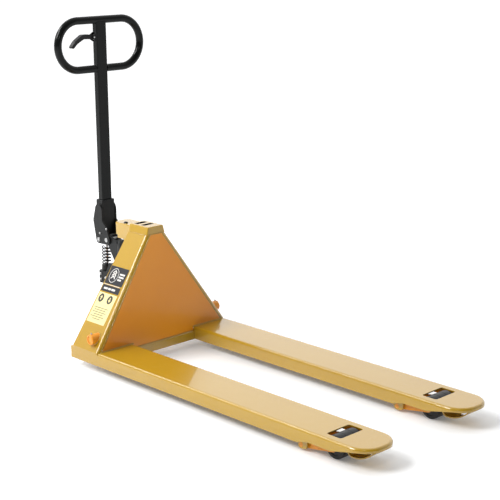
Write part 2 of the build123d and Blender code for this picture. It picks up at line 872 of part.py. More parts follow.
# Handle bracket: two ears from the cylinder that carry the handle's pin.
cheek_inner = base_width / 2 - cheek_plate
ear_outer = cheek_inner - cheek_play
with BuildPart() as handle_bracket:
    for near_face in (-ear_outer + ear_plate, ear_outer):
        with BuildSketch(side_view(near_face)):
            Polygon(
                (handle_pivot_x, handle_pivot_z - 20),
                (steer_x - 24, handle_pivot_z - 92),
                (steer_x + 4, handle_pivot_z - 92),
                (steer_x + 4, cylinder_top - 6),
                (steer_x - 20, handle_pivot_z),
                (handle_pivot_x, handle_pivot_z + 20),
                align=None,
            )
            with Locations((handle_pivot_x, handle_pivot_z)):
                Circle(20)
                Circle(handle_pin_diameter / 2 + running, mode=Mode.SUBTRACT)
        extrude(amount=ear_plate)
    with BuildSketch(top_view(bore_foot)):
        with Locations((steer_x, 0)):
            Circle(cylinder_diameter / 2)
    extrude(amount=cylinder_top - bore_foot, mode=Mode.SUBTRACT)
    with BuildSketch(top_view(cylinder_top)):
        with Locations((steer_x, 0)):
            Circle(gland_diameter / 2 + gap)
    extrude(amount=2 * gland_height, mode=Mode.SUBTRACT)
save(handle_bracket, "handle_bracket")

# Release valve lever, and the chain that hangs down to its forked tip.
with BuildPart() as release_chain:
    for index in range(chain_links):
        link_z = chain_top - index * link_pitch
        crosswise = index % 2
        link_plane = front_view(chain_x) if crosswise else side_view()
        link_middle = (0, link_z) if crosswise else (chain_x, link_z)
        with BuildSketch(link_plane):
            with Locations(link_middle):
                SlotOverall(link_room + 2 * link_wire, link_width, rotation=90)
                SlotOverall(
                    link_room, link_width - 2 * link_wire, rotation=90, mode=Mode.SUBTRACT
                )
        extrude(amount=link_wire / 2, both=True)
save(release_chain, "release_chain")

with BuildPart() as valve_lever:
    with BuildSketch(side_view()):
        with Locations((valve_x, valve_z)):
            Circle(valve_pin_diameter / 2 + 3)
        with Locations((chain_pin_x, valve_z)):
            Circle(chain_pin_radius + 2)
        make_hull()
        with Locations((valve_x, valve_z)):
            Circle(valve_pin_diameter / 2 + running, mode=Mode.SUBTRACT)
    extrude(amount=5 - gap, both=True)
    with BuildSketch(side_view()):
        with Locations((chain_pin_x, valve_z)):
            Circle(link_width)
    extrude(amount=link_wire / 2 + gap, both=True, mode=Mode.SUBTRACT)
    with BuildSketch(side_view()):
        with Locations((chain_pin_x, valve_z)):
            Circle(chain_pin_radius)
    extrude(amount=5 - gap, both=True)
save(valve_lever, "valve_lever")

with BuildPart() as filler_plug:
    with BuildSketch(side_view(-cylinder_diameter / 2)):
        with Locations((steer_x, pump_foot + 36)):
            RegularPolygon(9, 6)
    extrude(amount=12)
    with BuildSketch(top_view(pump_foot)):
        with Locations((steer_x, 0)):
            Circle(housing_diameter / 2 - 6)
    extrude(amount=3 * housing_height, mode=Mode.SUBTRACT)
save(filler_plug, "filler_plug")

# Steer wheels on an axle through a block below the thrust housing.
hub_half = wheel_width / 2 + 1
block_half = wheel_inner - 6
with BuildPart() as axle_block:
    with BuildSketch(side_view()):
        Polygon(
            (steer_x - 34, axle_block_top),
            (steer_x + 34, axle_block_top),
            (steer_x + 26, wheel_z - 14),
            (steer_x - 26, wheel_z - 14),
            align=None,
        )
        with Locations((steer_x, wheel_z)):
            Circle(26)
            Circle(wheel_bore / 2, mode=Mode.SUBTRACT)
    extrude(amount=block_half, both=True)
    fillet(axle_block.edges().filter_by(Axis.Y).group_by(Axis.Z)[-1], 6)
    with BuildSketch(top_view(axle_block_top)):
        with Locations((steer_x, 0)):
            Circle(spigot_diameter / 2)
    extrude(amount=spigot_foot - axle_block_top, mode=Mode.SUBTRACT)
save(axle_block, "axle_block")

axle_end = wheel_track / 2 + wheel_width / 2 - 12
with BuildPart() as wheel_axle:
    with BuildSketch(side_view()):
        with Locations((steer_x, wheel_z)):
            Circle(wheel_bore / 2)
    extrude(amount=axle_end + 9, both=True)
    chamfer(wheel_axle.edges().filter_by(GeomType.CIRCLE), 1)
save(wheel_axle, "wheel_axle")

with BuildPart() as axle_nuts:
    for near_face in (axle_end + 7, -axle_end):
        with BuildSketch(side_view(near_face)):
            with Locations((steer_x, wheel_z)):
                RegularPolygon(wheel_bore / 2 + 5, 6)
                Circle(wheel_bore / 2, mode=Mode.SUBTRACT)
        extrude(amount=7)
save(axle_nuts, "axle_nuts")

for side, sign in sides.items():
    middle = sign * wheel_track / 2
    with BuildPart() as wheel_hub:
        with BuildSketch(side_view(middle)):
            with Locations((steer_x, wheel_z)):
                Circle(wheel_diameter / 2 - tyre_thickness)
                Circle(wheel_bore / 2 + running, mode=Mode.SUBTRACT)
        extrude(amount=wheel_width / 2 - gap, both=True)
        for face_offset in (wheel_width / 2, -wheel_width / 2 + 11):
            with BuildSketch(side_view(middle + face_offset)):
                with Locations((steer_x, wheel_z)):
                    Circle(wheel_diameter / 2 - tyre_thickness - 9)
                    Circle(wheel_bore / 2 + 13 if face_offset * sign < 0 else wheel_bore / 2 + 6.5,
                           mode=Mode.SUBTRACT)
            extrude(amount=11, mode=Mode.SUBTRACT)
        boss_start = sign * (block_half + gap)
        with BuildSketch(side_view(boss_start)):
            with Locations((steer_x, wheel_z)):
                Circle(wheel_bore / 2 + 6.5)
                Circle(wheel_bore / 2 + running, mode=Mode.SUBTRACT)
        extrude(amount=-sign * wheel_width / 2)
        with BuildSketch(side_view(sign * (axle_end - gap))):
            with Locations((steer_x, wheel_z)):
                Circle(wheel_bore / 2 + 8)
        extrude(amount=-sign * wheel_width, mode=Mode.SUBTRACT)
    save(wheel_hub, f"wheel_hub_{side}")

    with BuildPart() as wheel_tyre:
        with BuildSketch(side_view(middle)):
            with Locations((steer_x, wheel_z)):
                Circle(wheel_diameter / 2)
                Circle(wheel_diameter / 2 - tyre_thickness, mode=Mode.SUBTRACT)
        extrude(amount=wheel_width / 2, both=True)
        rims = wheel_tyre.faces().filter_by(Axis.Y)
        fillet([face.outer_wire().edges()[0] for face in rims], 5)
    save(wheel_tyre, f"wheel_tyre_{side}")

# Handle base: two cheeks on the pivot pin, joined by a sleeve for the tube.
with BuildPart() as handle_base:
    for near_face in (-base_width / 2 + cheek_plate, base_width / 2):
        with BuildSketch(side_view(near_face)):
            with Locations((handle_pivot_x, handle_pivot_z)):
                Circle(handle_pin_diameter / 2 + 10)
            with Locations((piston_x, press_roller_z)):
                Circle(press_pin_diameter / 2 + 9)
            with Locations((handle_x, cheek_bulge_z)):
                Circle(base_rear)
            with Locations((handle_x, cheek_head_z)):
                Circle(sleeve_depth / 2)
            make_hull()
            Polygon(
                (handle_x + sleeve_depth / 2 + 2, base_top),
                (handle_x + sleeve_depth / 2 + 2, cheek_step_z),
                (handle_pivot_x + 9, handle_pivot_z + 36),
                (handle_pivot_x + 40, handle_pivot_z + 36),
                (handle_pivot_x + 40, base_top),
                align=None,
                mode=Mode.SUBTRACT,
            )
        extrude(amount=cheek_plate)
    with BuildSketch(top_view(sleeve_foot)):
        with Locations((handle_x, 0)):
            RectangleRounded(sleeve_depth, 2 * cheek_inner, 3)
    extrude(amount=base_top - sleeve_foot)
    fillet(handle_base.edges().group_by(Axis.Z)[-1], 2)
    with BuildSketch(top_view(sleeve_foot + 8)):
        with Locations((handle_x, 0)):
            RectangleRounded(tube_depth, tube_width, tube_corner)
    extrude(amount=base_top - sleeve_foot, mode=Mode.SUBTRACT)
    with BuildSketch(side_view()):
        with Locations((handle_pivot_x, handle_pivot_z)):
            Circle(handle_pin_diameter / 2)
        with Locations((piston_x, press_roller_z)):
            Circle(press_pin_diameter / 2)
    extrude(amount=base_width, both=True, mode=Mode.SUBTRACT)
save(handle_base, "handle_base")

with BuildPart() as handle_pin:
    with BuildSketch(side_view()):
        with Locations((handle_pivot_x, handle_pivot_z)):
            Circle(handle_pin_diameter / 2)
    extrude(amount=base_width / 2 + 2, both=True)
save(handle_pin, "handle_pin")

with BuildPart() as press_pin:
    with BuildSketch(side_view()):
        with Locations((piston_x, press_roller_z)):
            Circle(press_pin_diameter / 2)
    extrude(amount=base_width / 2 + 1, both=True)
save(press_pin, "press_pin")

with BuildPart() as press_roller:
    with BuildSketch(side_view()):
        with Locations((piston_x, press_roller_z)):
            Circle(press_roller_diameter / 2)
            Circle(press_pin_diameter / 2 + running, mode=Mode.SUBTRACT)
    extrude(amount=press_roller_width / 2, both=True)
    chamfer([face.outer_wire().edges()[0] for face in press_roller.faces().filter_by(Axis.Y)], 1)
save(press_roller, "press_roller")

# Handle loop: one bent tube whose two ends butt on the handle tube's sides.
loop_foot = loop_z - loop_radius
loop_head = loop_z + loop_radius
with BuildPart() as handle_loop:
    with BuildLine(front_view(handle_x)) as loop_path:
        Line((tube_width / 2, loop_foot), (loop_y, loop_foot))
        ThreePointArc((loop_y, loop_foot), (loop_y + loop_radius, loop_z), (loop_y, loop_head))
        Line((loop_y, loop_head), (-loop_y, loop_head))
        ThreePointArc((-loop_y, loop_head), (-loop_y - loop_radius, loop_z), (-loop_y, loop_foot))
        Line((-loop_y, loop_foot), (-tube_width / 2, loop_foot))
    with BuildSketch(Plane(origin=loop_path.line @ 0, z_dir=loop_path.line % 0)):
        Circle(loop_tube / 2)
        Circle(loop_tube / 2 - loop_tube_wall, mode=Mode.SUBTRACT)
    sweep(path=loop_path.line)
save(handle_loop, "handle_loop")

lever_slot = 30
with BuildPart() as handle_tube:
    with BuildSketch(top_view(sleeve_foot + 8)):
        with Locations((handle_x, 0)):
            RectangleRounded(tube_depth, tube_width, tube_corner)
            RectangleRounded(
                tube_depth - 2 * tube_wall,
                tube_width - 2 * tube_wall,
                tube_corner - tube_wall,
                mode=Mode.SUBTRACT,
            )
    extrude(amount=loop_head - sleeve_foot - 8)
    with BuildSketch(front_view(handle_x)):
        with Locations((-tube_width / 2, lever_root_z)):
            Rectangle(4 * tube_wall, lever_slot)
    extrude(amount=tube_depth / 2 - tube_wall - 2, both=True, mode=Mode.SUBTRACT)
    with BuildSketch(side_view()):
        with Locations((handle_x, loop_head)):
            Circle(loop_tube / 2)
    extrude(amount=tube_width, both=True, mode=Mode.SUBTRACT)
save(handle_tube, "handle_tube")

# Release lever: a curved finger lever on a bracket at the tube's right side.
bracket_half_width = lever_depth / 2 + 3.5
with BuildPart() as lever_bracket:
    with BuildSketch(front_view(handle_x)):
        with Locations((-tube_width / 2, lever_root_z)):
            Rectangle(1, 34, align=(Align.MAX, Align.CENTER))
        with Locations((lever_root_y, lever_root_z)):
            Circle(8)
        make_hull()
        with Locations((lever_root_y, lever_root_z)):
            Circle(lever_pin_diameter / 2, mode=Mode.SUBTRACT)
    extrude(amount=bracket_half_width, both=True)
    with BuildSketch(front_view(handle_x)):
        with Locations((lever_root_y, lever_root_z)):
            Rectangle(40, 60)
    extrude(amount=lever_depth / 2 + gap, both=True, mode=Mode.SUBTRACT)
save(lever_bracket, "lever_bracket")

with BuildPart() as lever_pin_hinge:
    with BuildSketch(front_view(handle_x)):
        with Locations((lever_root_y, lever_root_z)):
            Circle(lever_pin_diameter / 2)
    extrude(amount=bracket_half_width + 1.5, both=True)
save(lever_pin_hinge, "release_lever_pin")

lever_line = (
    (0, 0, 0.5 * lever_thickness),
    (0.25, 0.9 * lever_crown, 0.5 * lever_thickness),
    (0.5, lever_crown, 0.48 * lever_thickness),
    (0.68, -0.2 * lever_drop, 0.43 * lever_thickness),
    (0.84, -0.5 * lever_drop, 0.38 * lever_thickness),
    (1, -lever_drop, 0.32 * lever_thickness),
)
tail_length = release_rod_y - release_rod_diameter / 2 - gap - lever_root_y
with BuildPart() as release_lever:
    with BuildSketch(front_view(handle_x)):
        with Locations((lever_root_y, lever_root_z)):
            Circle(lever_thickness / 2)
    extrude(amount=lever_depth / 2, both=True)
    for (start, rise, radius), (next_start, next_rise, next_radius) in zip(
        lever_line, lever_line[1:]
    ):
        with BuildSketch(front_view(handle_x)):
            with Locations((lever_root_y - start * lever_reach, lever_root_z + rise)):
                Circle(radius)
            with Locations((lever_root_y - next_start * lever_reach, lever_root_z + next_rise)):
                Circle(next_radius)
            make_hull()
        extrude(amount=lever_depth / 2, both=True)
    with BuildSketch(front_view(handle_x)):
        with Locations((lever_root_y, lever_root_z)):
            Rectangle(tail_length, release_rod_diameter, align=(Align.MIN, Align.CENTER))
    extrude(amount=tube_depth / 2 - tube_wall - 4, both=True)
    with BuildSketch(front_view(handle_x)):
        with Locations((lever_root_y, lever_root_z)):
            Circle(lever_pin_diameter / 2 + running)
    extrude(amount=tube_depth, both=True, mode=Mode.SUBTRACT)
save(release_lever, "release_lever")

with BuildPart() as release_rod:
    rod_foot = cheek_head_z - 12
    with BuildSketch(top_view(rod_foot)):
        with Locations((handle_x, release_rod_y)):
            Circle(release_rod_diameter / 2)
    extrude(amount=lever_root_z + 12 - rod_foot)
save(release_rod, "release_rod")
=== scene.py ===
from math import atan2, cos, hypot, pi, radians, sin, tan

import bmesh
import bpy
from mathutils import Matrix, Vector


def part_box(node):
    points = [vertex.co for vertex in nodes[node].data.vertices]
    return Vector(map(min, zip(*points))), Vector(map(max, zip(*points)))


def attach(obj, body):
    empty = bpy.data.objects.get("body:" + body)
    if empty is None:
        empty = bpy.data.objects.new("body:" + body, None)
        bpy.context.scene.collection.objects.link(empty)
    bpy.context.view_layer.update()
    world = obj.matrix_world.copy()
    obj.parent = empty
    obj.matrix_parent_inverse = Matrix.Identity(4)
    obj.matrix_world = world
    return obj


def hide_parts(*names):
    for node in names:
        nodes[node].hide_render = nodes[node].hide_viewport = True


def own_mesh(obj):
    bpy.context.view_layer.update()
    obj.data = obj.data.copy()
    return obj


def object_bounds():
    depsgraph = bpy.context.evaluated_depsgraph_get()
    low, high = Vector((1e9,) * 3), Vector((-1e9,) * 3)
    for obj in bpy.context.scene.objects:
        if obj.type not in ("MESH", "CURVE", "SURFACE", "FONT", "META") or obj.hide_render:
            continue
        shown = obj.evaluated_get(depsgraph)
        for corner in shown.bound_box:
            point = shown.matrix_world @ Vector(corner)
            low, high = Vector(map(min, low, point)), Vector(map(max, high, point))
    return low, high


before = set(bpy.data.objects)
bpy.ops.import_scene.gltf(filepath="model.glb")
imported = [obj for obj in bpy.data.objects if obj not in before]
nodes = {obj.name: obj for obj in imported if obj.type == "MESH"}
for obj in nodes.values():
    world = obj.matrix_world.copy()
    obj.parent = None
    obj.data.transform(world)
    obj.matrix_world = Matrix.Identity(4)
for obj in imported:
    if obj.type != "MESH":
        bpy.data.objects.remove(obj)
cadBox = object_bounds()
mm = 0.001
print("frame loaded:", len(nodes), "nodes")


# one socket, so that maths on it is written as an expression
class Wire:
    def __init__(self, maker, socket):
        self.maker = maker
        self.socket = socket

    def math(self, operation, other=0.0, clamp=False):
        return self.maker.maths(operation, self, other, clamp)

    def __add__(self, other):
        return self.math("ADD", other)

    def __radd__(self, other):
        return self.maker.maths("ADD", other, self)

    def __sub__(self, other):
        return self.math("SUBTRACT", other)

    def __rsub__(self, other):
        return self.maker.maths("SUBTRACT", other, self)

    def __mul__(self, other):
        return self.math("MULTIPLY", other)

    def __rmul__(self, other):
        return self.maker.maths("MULTIPLY", other, self)

    def __truediv__(self, other):
        return self.math("DIVIDE", other)

    def above(self, edge, soft):  # 0 below the edge, 1 past it
        return (self - edge).math("MULTIPLY", 1 / soft, clamp=True)

    def within(self, reach):  # held between -reach and reach
        return self.math("MINIMUM", reach).math("MAXIMUM", -reach)


class Outputs:
    def __init__(self, maker, item):
        self.maker = maker
        self.item = item

    def __getitem__(self, key):
        return Wire(self.maker, self.item.outputs[key])


# adds nodes to one tree, shader or geometry
class Maker:
    def __init__(self, tree, prefix):
        self.tree = tree
        self.prefix = prefix

    def node(self, kind, settings=None, inputs=None):
        prefix = "ShaderNode" if kind in ("Math", "VectorMath", "SeparateXYZ", "CombineXYZ") else self.prefix
        if kind in ("RandomValue", "AlignRotationToVector"):
            prefix = "FunctionNode"
        item = self.tree.nodes.new(prefix + kind)
        for key, value in (settings or {}).items():
            setattr(item, key, value)
        for key, value in (inputs or {}).items():
            if isinstance(value, Wire):
                self.tree.links.new(value.socket, item.inputs[key])
            else:
                item.inputs[key].default_value = value
        return Outputs(self, item)

    def maths(self, operation, first, second, clamp=False):
        return self.node("Math", {"operation": operation, "use_clamp": clamp}, {0: first, 1: second})[0]

    def blend(self, share, first, second):  # colours
        first = (*first, 1) if isinstance(first, tuple) else first
        second = (*second, 1) if isinstance(second, tuple) else second
        return self.node("Mix", {"data_type": "RGBA"}, {0: share, 6: first, 7: second})[2]

    def noise(self, place, scale, detail=3.0, roughness=0.55):
        sizes = {"Vector": place, "Scale": scale, "Detail": detail, "Roughness": roughness}
        return self.node("TexNoise", {"noise_dimensions": "3D"}, sizes)["Fac"]

    def stretched(self, place, scale):
        return self.node("Mapping", {}, {"Vector": place, "Scale": scale})["Vector"]


def startMaterial(name):
    material = bpy.data.materials.new(name)
    material.use_nodes = True
    material.node_tree.nodes.clear()
    maker = Maker(material.node_tree, "ShaderNode")
    place = maker.node("TexCoord")["Object"]
    return material, maker, place


def finishMaterial(maker, colour, roughness, normal, metallic=0.0, coat=0.0, coatRoughness=0.05,
                   specular=0.5):
    sockets = {"Base Color": colour, "Roughness": roughness, "Normal": normal, "Metallic": metallic,
               "Coat Weight": coat, "Coat Roughness": coatRoughness, "Specular IOR Level": specular}
    shader = maker.node("BsdfPrincipled", {}, sockets)["BSDF"]
    maker.node("OutputMaterial", {}, {"Surface": shader})


# how far the surface is from an edge: 0 on a flat, towards 1 on a sharp edge
def edgeMask(maker, radius):
    rounded = maker.node("Bevel", {"samples": 6}, {"Radius": radius})["Normal"]
    facing = maker.node("NewGeometry")["True Normal"]
    same = maker.node("VectorMath", {"operation": "DOT_PRODUCT"}, {0: rounded, 1: facing})["Value"]
    return rounded, 1 - same


# glossy stoved paint: orange peel, faint handling marks, lighter edges that are part paint wear and part
# painted highlight
def gloss(name, tone):
    material, maker, place = startMaterial(name)
    rounded, edge = edgeMask(maker, tone["round"])
    cloud = maker.noise(place, 2.6, 4.0)
    fleck = maker.noise(place, 60.0, 5.0, 0.7)
    peel = maker.noise(place, 420.0, 2.0)
    rub = maker.noise(maker.stretched(place, (6.0, 60.0, 60.0)), 14.0, 5.0, 0.7)
    dusty = maker.noise(place, 7.0, 6.0, 0.6).above(0.58, 0.3) * tone["dust"]
    body = maker.blend(cloud.above(0.35, 0.4), tone["deep"], tone["main"])
    body = maker.blend(dusty, body, tone["pale"])
    # lighter colour on broken-up edges: partly paint wear, partly a painted highlight
    edgeWearAndHighlight = (edge * 2.2).above(0.12, 0.7) * fleck.above(0.3, 0.35) * tone["wear"]
    body = maker.blend(edgeWearAndHighlight, body, tone["edge"])
    rough = tone["rough"] + (rub.above(0.55, 0.3) * 0.03 + fleck * 0.01)
    bump = maker.node("Bump", {}, {"Strength": tone["peel"], "Distance": 0.0002, "Height": peel + cloud * 0.6,
                                   "Normal": rounded})["Normal"]
    finishMaterial(maker, body, rough, bump, coat=tone["coat"] - edgeWearAndHighlight * 0.5, coatRoughness=tone["coatRough"],
                   specular=tone["specular"])
    return material


# cast or powdered black: pebbly skin, rubbed lighter on its edges
def cast(name, tone):
    material, maker, place = startMaterial(name)
    rounded, edge = edgeMask(maker, tone["round"])
    pebble = maker.noise(place, tone["grain"], 4.0, 0.6)
    cloud = maker.noise(place, 9.0, 4.0)
    grime = maker.noise(place, 38.0, 6.0, 0.7)
    body = maker.blend(cloud.above(0.4, 0.3), tone["main"], tone["deep"])
    body = maker.blend(grime.above(0.6, 0.25) * 0.5, body, tone["dust"])
    worn = (edge * 2.0).above(0.1, 0.6) * grime.above(0.38, 0.3) * tone["wear"]
    body = maker.blend(worn, body, tone["edge"])
    rough = tone["rough"] + grime * 0.14 - worn * 0.15
    bump = maker.node("Bump", {}, {"Strength": tone["depth"], "Distance": 0.0006,
                                   "Height": pebble + grime * 0.5, "Normal": rounded})["Normal"]
    finishMaterial(maker, body, rough, bump, metallic=worn * 0.7, specular=tone["specular"])
    return material


# turned or drawn steel: fine lines along one way, dull film, darker in patches
def turned(name, tone):
    material, maker, place = startMaterial(name)
    rounded, edge = edgeMask(maker, 0.0008)
    lines = maker.noise(maker.stretched(place, tone["lines"]), 30.0, 4.0, 0.7)
    patch = maker.noise(place, 26.0, 5.0, 0.65)
    body = maker.blend(patch.above(0.45, 0.35), tone["main"], tone["deep"])
    body = maker.blend(edge.above(0.05, 0.4) * 0.5, body, tone["edge"])
    rough = tone["rough"] + lines * 0.16 + patch * 0.08
    bump = maker.node("Bump", {}, {"Strength": 0.25, "Distance": 0.0002, "Height": lines,
                                   "Normal": rounded})["Normal"]
    finishMaterial(maker, body, rough, bump, metallic=tone["metal"])
    return material


# moulded tread or rubber: soft skin with scuffs running round
def moulded(name, tone):
    material, maker, place = startMaterial(name)
    rounded, edge = edgeMask(maker, 0.0012)
    grain = maker.noise(place, 260.0, 4.0, 0.6)
    scuff = maker.noise(maker.stretched(place, (18.0, 160.0, 18.0)), 3.0, 6.0, 0.7)
    body = maker.blend(scuff.above(0.5, 0.3) * tone["scuffed"], tone["main"], tone["dust"])
    body = maker.blend(edge.above(0.1, 0.6) * 0.35, body, tone["dust"])
    rough = tone["rough"] + scuff * 0.2
    bump = maker.node("Bump", {}, {"Strength": 0.3, "Distance": 0.0004, "Height": grain + scuff * 0.8,
                                   "Normal": rounded})["Normal"]
    finishMaterial(maker, body, rough, bump, specular=tone["shine"])
    return material


# printed plastic film: faint print dots, fingermarks
def film(name, tone):
    material, maker, place = startMaterial(name)
    smear = maker.noise(place, 22.0, 5.0, 0.6)
    dots = maker.node("TexVoronoi", {}, {"Vector": place, "Scale": 900.0})["Distance"]
    body = maker.blend(smear.above(0.45, 0.35) * 0.5, tone["main"], tone["deep"])
    body = maker.blend(dots.above(0.5, 0.3) * 0.12, body, tone["dust"])
    rough = tone["rough"] + smear * 0.15
    height = smear + dots * 0.1
    bump = maker.node("Bump", {}, {"Strength": 0.15, "Distance": 0.0002, "Height": height})["Normal"]
    finishMaterial(maker, body, rough, bump, coat=0.1, coatRoughness=0.15, specular=0.25)
    return material


paint = {
    "yellow": gloss("yellow stoved paint", {
        "main": (0.465, 0.278, 0.011), "deep": (0.44, 0.255, 0.009), "pale": (0.53, 0.35, 0.06),
        "edge": (0.80, 0.58, 0.18), "dust": 0.10, "wear": 0.5, "rough": 0.26, "coat": 0.8, "coatRough": 0.04,
        "peel": 0.015, "round": 0.0025, "specular": 0.5}),
    # a deeper, redder copy of the yellow paint: painted shade for the parts that face away from the light
    "orange": gloss("yellow paint darkened as painted shade", {
        "main": (0.86, 0.33, 0.014), "deep": (0.80, 0.29, 0.011), "pale": (0.70, 0.34, 0.05),
        "edge": (0.80, 0.50, 0.12), "dust": 0.10, "wear": 0.4, "rough": 0.3, "coat": 0.25, "coatRough": 0.08,
        "peel": 0.015, "round": 0.0025, "specular": 0.35}),
    "black": gloss("black stoved paint", {
        "main": (0.0055, 0.0065, 0.006), "deep": (0.0035, 0.004, 0.004), "pale": (0.03, 0.03, 0.028),
        "edge": (0.10, 0.10, 0.10), "dust": 0.12, "wear": 0.3, "rough": 0.2, "coat": 0.16, "coatRough": 0.04,
        "peel": 0.1, "round": 0.0015, "specular": 0.1}),
    "casting": cast("black casting", {
        "main": (0.010, 0.0105, 0.0105), "deep": (0.005, 0.0055, 0.0055), "dust": (0.035, 0.034, 0.032),
        "edge": (0.16, 0.16, 0.16), "wear": 0.45, "rough": 0.34, "grain": 330.0, "depth": 0.35,
        "round": 0.0018, "specular": 0.22}),
    "steel": turned("drawn steel", {
        "main": (0.50, 0.50, 0.50), "deep": (0.30, 0.29, 0.28), "edge": (0.75, 0.75, 0.75),
        "rough": 0.26, "metal": 1.0, "lines": (4.0, 60.0, 60.0)}),
    "chrome": turned("ground ram steel", {
        "main": (0.78, 0.78, 0.80), "deep": (0.62, 0.62, 0.64), "edge": (0.9, 0.9, 0.9),
        "rough": 0.10, "metal": 1.0, "lines": (60.0, 60.0, 4.0)}),
    "tyre": moulded("black tread", {
        "main": (0.013, 0.013, 0.013), "dust": (0.09, 0.085, 0.08),
        "scuffed": 0.4, "rough": 0.5, "shine": 0.2}),
    "nylon": moulded("black nylon", {
        "main": (0.012, 0.012, 0.012), "dust": (0.05, 0.05, 0.05),
        "scuffed": 0.3, "rough": 0.26, "shine": 0.3}),
    "lever": moulded("lever plastic", {
        "main": (0.012, 0.012, 0.013), "dust": (0.06, 0.06, 0.06),
        "scuffed": 0.2, "rough": 0.3, "shine": 0.2}),
    "filmDark": film("dark label film", {
        "main": (0.022, 0.022, 0.026), "deep": (0.012, 0.012, 0.014), "dust": (0.09, 0.09, 0.09),
        "rough": 0.34}),
    "filmCream": film("cream label film", {
        "main": (0.80, 0.70, 0.34), "deep": (0.74, 0.62, 0.27), "dust": (0.9, 0.86, 0.6), "rough": 0.4}),
    "filmWhite": film("white label film", {
        "main": (0.72, 0.70, 0.66), "deep": (0.6, 0.58, 0.54), "dust": (0.85, 0.85, 0.82), "rough": 0.4}),
    "ink": film("label ink", {
        "main": (0.05, 0.046, 0.04), "deep": (0.03, 0.028, 0.025), "dust": (0.14, 0.13, 0.1), "rough": 0.5}),
}
print("materials made:", len(paint))

# which finish each kept node carries
finishes = {
    "yellow": ["fork_left", "fork_right", "fork_stiffeners", "pivot_lugs", "nose_shoe_left",
               "nose_shoe_right", "side_plate_left", "side_plate_right", "head_cap", "crossmember"],
    # these pieces take the deeper copy of the yellow paint, which is painted shade
    "orange": ["front_plate", "shaft_boss_left", "shaft_boss_right", "rocker_shaft", "load_bracket_left",
               "load_bracket_right", "bracket_pivots"],
    "black": ["handle_tube", "handle_loop", "lever_bracket"],
    "casting": ["torsion_tube", "rocker_arms", "rod_arms", "push_rod_left", "push_rod_right",
                "thrust_housing", "trunnion_pins", "pump_body", "handle_bracket", "axle_block", "handle_base",
                "valve_lever", "ram_gland", "pump_barrel", "piston_spring"],
    "steel": ["rod_pins", "lever_pin_left", "lever_pin_right", "roller_axle_left",
              "roller_axle_right", "thrust_washer", "filler_plug", "wheel_axle", "axle_nuts",
              "handle_pin", "press_pin", "release_lever_pin", "release_chain", "release_rod", "thrust_ball",
              "press_roller"],
    "chrome": ["ram", "pump_piston"],
    "tyre": ["wheel_tyre_left", "wheel_tyre_right"],
    "nylon": ["load_roller_left", "load_roller_right", "wheel_hub_left", "wheel_hub_right"],
    "lever": ["release_lever"],
}
for finish, names in finishes.items():
    for name in names:
        slots = nodes[name].data.materials
        for index in range(len(slots)):
            slots[index] = paint[finish]
        if not len(slots):
            slots.append(paint[finish])
print("finishes given to", sum(len(names) for names in finishes.values()), "nodes")


# corners of a node as the frame has them
def low(name):
    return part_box(name)[0]


def high(name):
    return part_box(name)[1]


def middle(name):
    return (low(name) + high(name)) / 2


forkTop = high("fork_right").z
plateTop = high("side_plate_right").z
halfWidth = high("fork_left").y
bulkhead = {"topHalf": 43 * mm, "setback": 29 * mm}
slant = atan2(halfWidth - bulkhead["topHalf"], plateTop - forkTop)
faceLean = atan2(bulkhead["setback"], plateTop - forkTop)
footX = -446.5 * mm  # the front plate's foot, where the fork tops begin


# a point on a side plate's outer face; side is 1 or -1, proud lifts it off the sheet
def onSide(x, z, side=-1, proud=0.0):
    y = halfWidth - (z - forkTop) * tan(slant)
    return Vector((x, side * (y + proud * cos(slant)), z + proud * sin(slant)))


def frontX(z):
    return footX - (z - forkTop) * tan(faceLean)


# a finished piece, on its body and in its slot
def newPiece(name, mesh, finish, body, replaced=()):
    piece = bpy.data.objects.new(name, mesh)
    bpy.context.scene.collection.objects.link(piece)
    if not mesh.materials:
        mesh.materials.append(paint[finish])
    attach(piece, body)
    if replaced:
        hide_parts(*replaced)
    return piece


def meshFrom(name, build, smooth=True):
    shape = bmesh.new()
    build(shape)
    bmesh.ops.remove_doubles(shape, verts=shape.verts, dist=1e-6)
    bmesh.ops.recalc_face_normals(shape, faces=shape.faces)
    mesh = bpy.data.meshes.new(name)
    shape.to_mesh(mesh)
    shape.free()
    for face in mesh.polygons:
        face.use_smooth = smooth
    return mesh


# a slab between an outline and its copy moved along a direction
def slab(shape, outline, push):
    foot = [shape.verts.new(point) for point in outline]
    head = [shape.verts.new(point + push) for point in outline]
    shape.faces.new(list(reversed(foot)))
    shape.faces.new(head)
    count = len(foot)
    for index in range(count):
        after = (index + 1) % count
        shape.faces.new((foot[index], foot[after], head[after], head[index]))


# a flat ring slab from two closed outlines with the same count
def ringSlab(shape, outer, inner, push):
    rows = [[shape.verts.new(point + step) for point in line] for line in (outer, inner)
            for step in (Vector(), push)]
    outFoot, outHead, inFoot, inHead = rows
    count = len(outer)
    for index in range(count):
        after = (index + 1) % count
        shape.faces.new((outFoot[index], outFoot[after], outHead[after], outHead[index]))
        shape.faces.new((inFoot[after], inFoot[index], inHead[index], inHead[after]))
        shape.faces.new((outHead[index], outHead[after], inHead[after], inHead[index]))
        shape.faces.new((outFoot[after], outFoot[index], inFoot[index], inFoot[after]))


def roundedBox(x0, z0, x1, z1, radius, steps=5):
    corners = ((x1 - radius, z1 - radius, 0), (x0 + radius, z1 - radius, 90),
               (x0 + radius, z0 + radius, 180), (x1 - radius, z0 + radius, 270))
    points = []
    for x, z, start in corners:
        for step in range(steps + 1):
            angle = radians(start + 90 * step / steps)
            points.append((x + radius * cos(angle), z + radius * sin(angle)))
    return points


def circlePoints(x, z, radius, count=40):
    angles = [2 * pi * i / count for i in range(count)]
    return [(x + radius * cos(angle), z + radius * sin(angle)) for angle in angles]


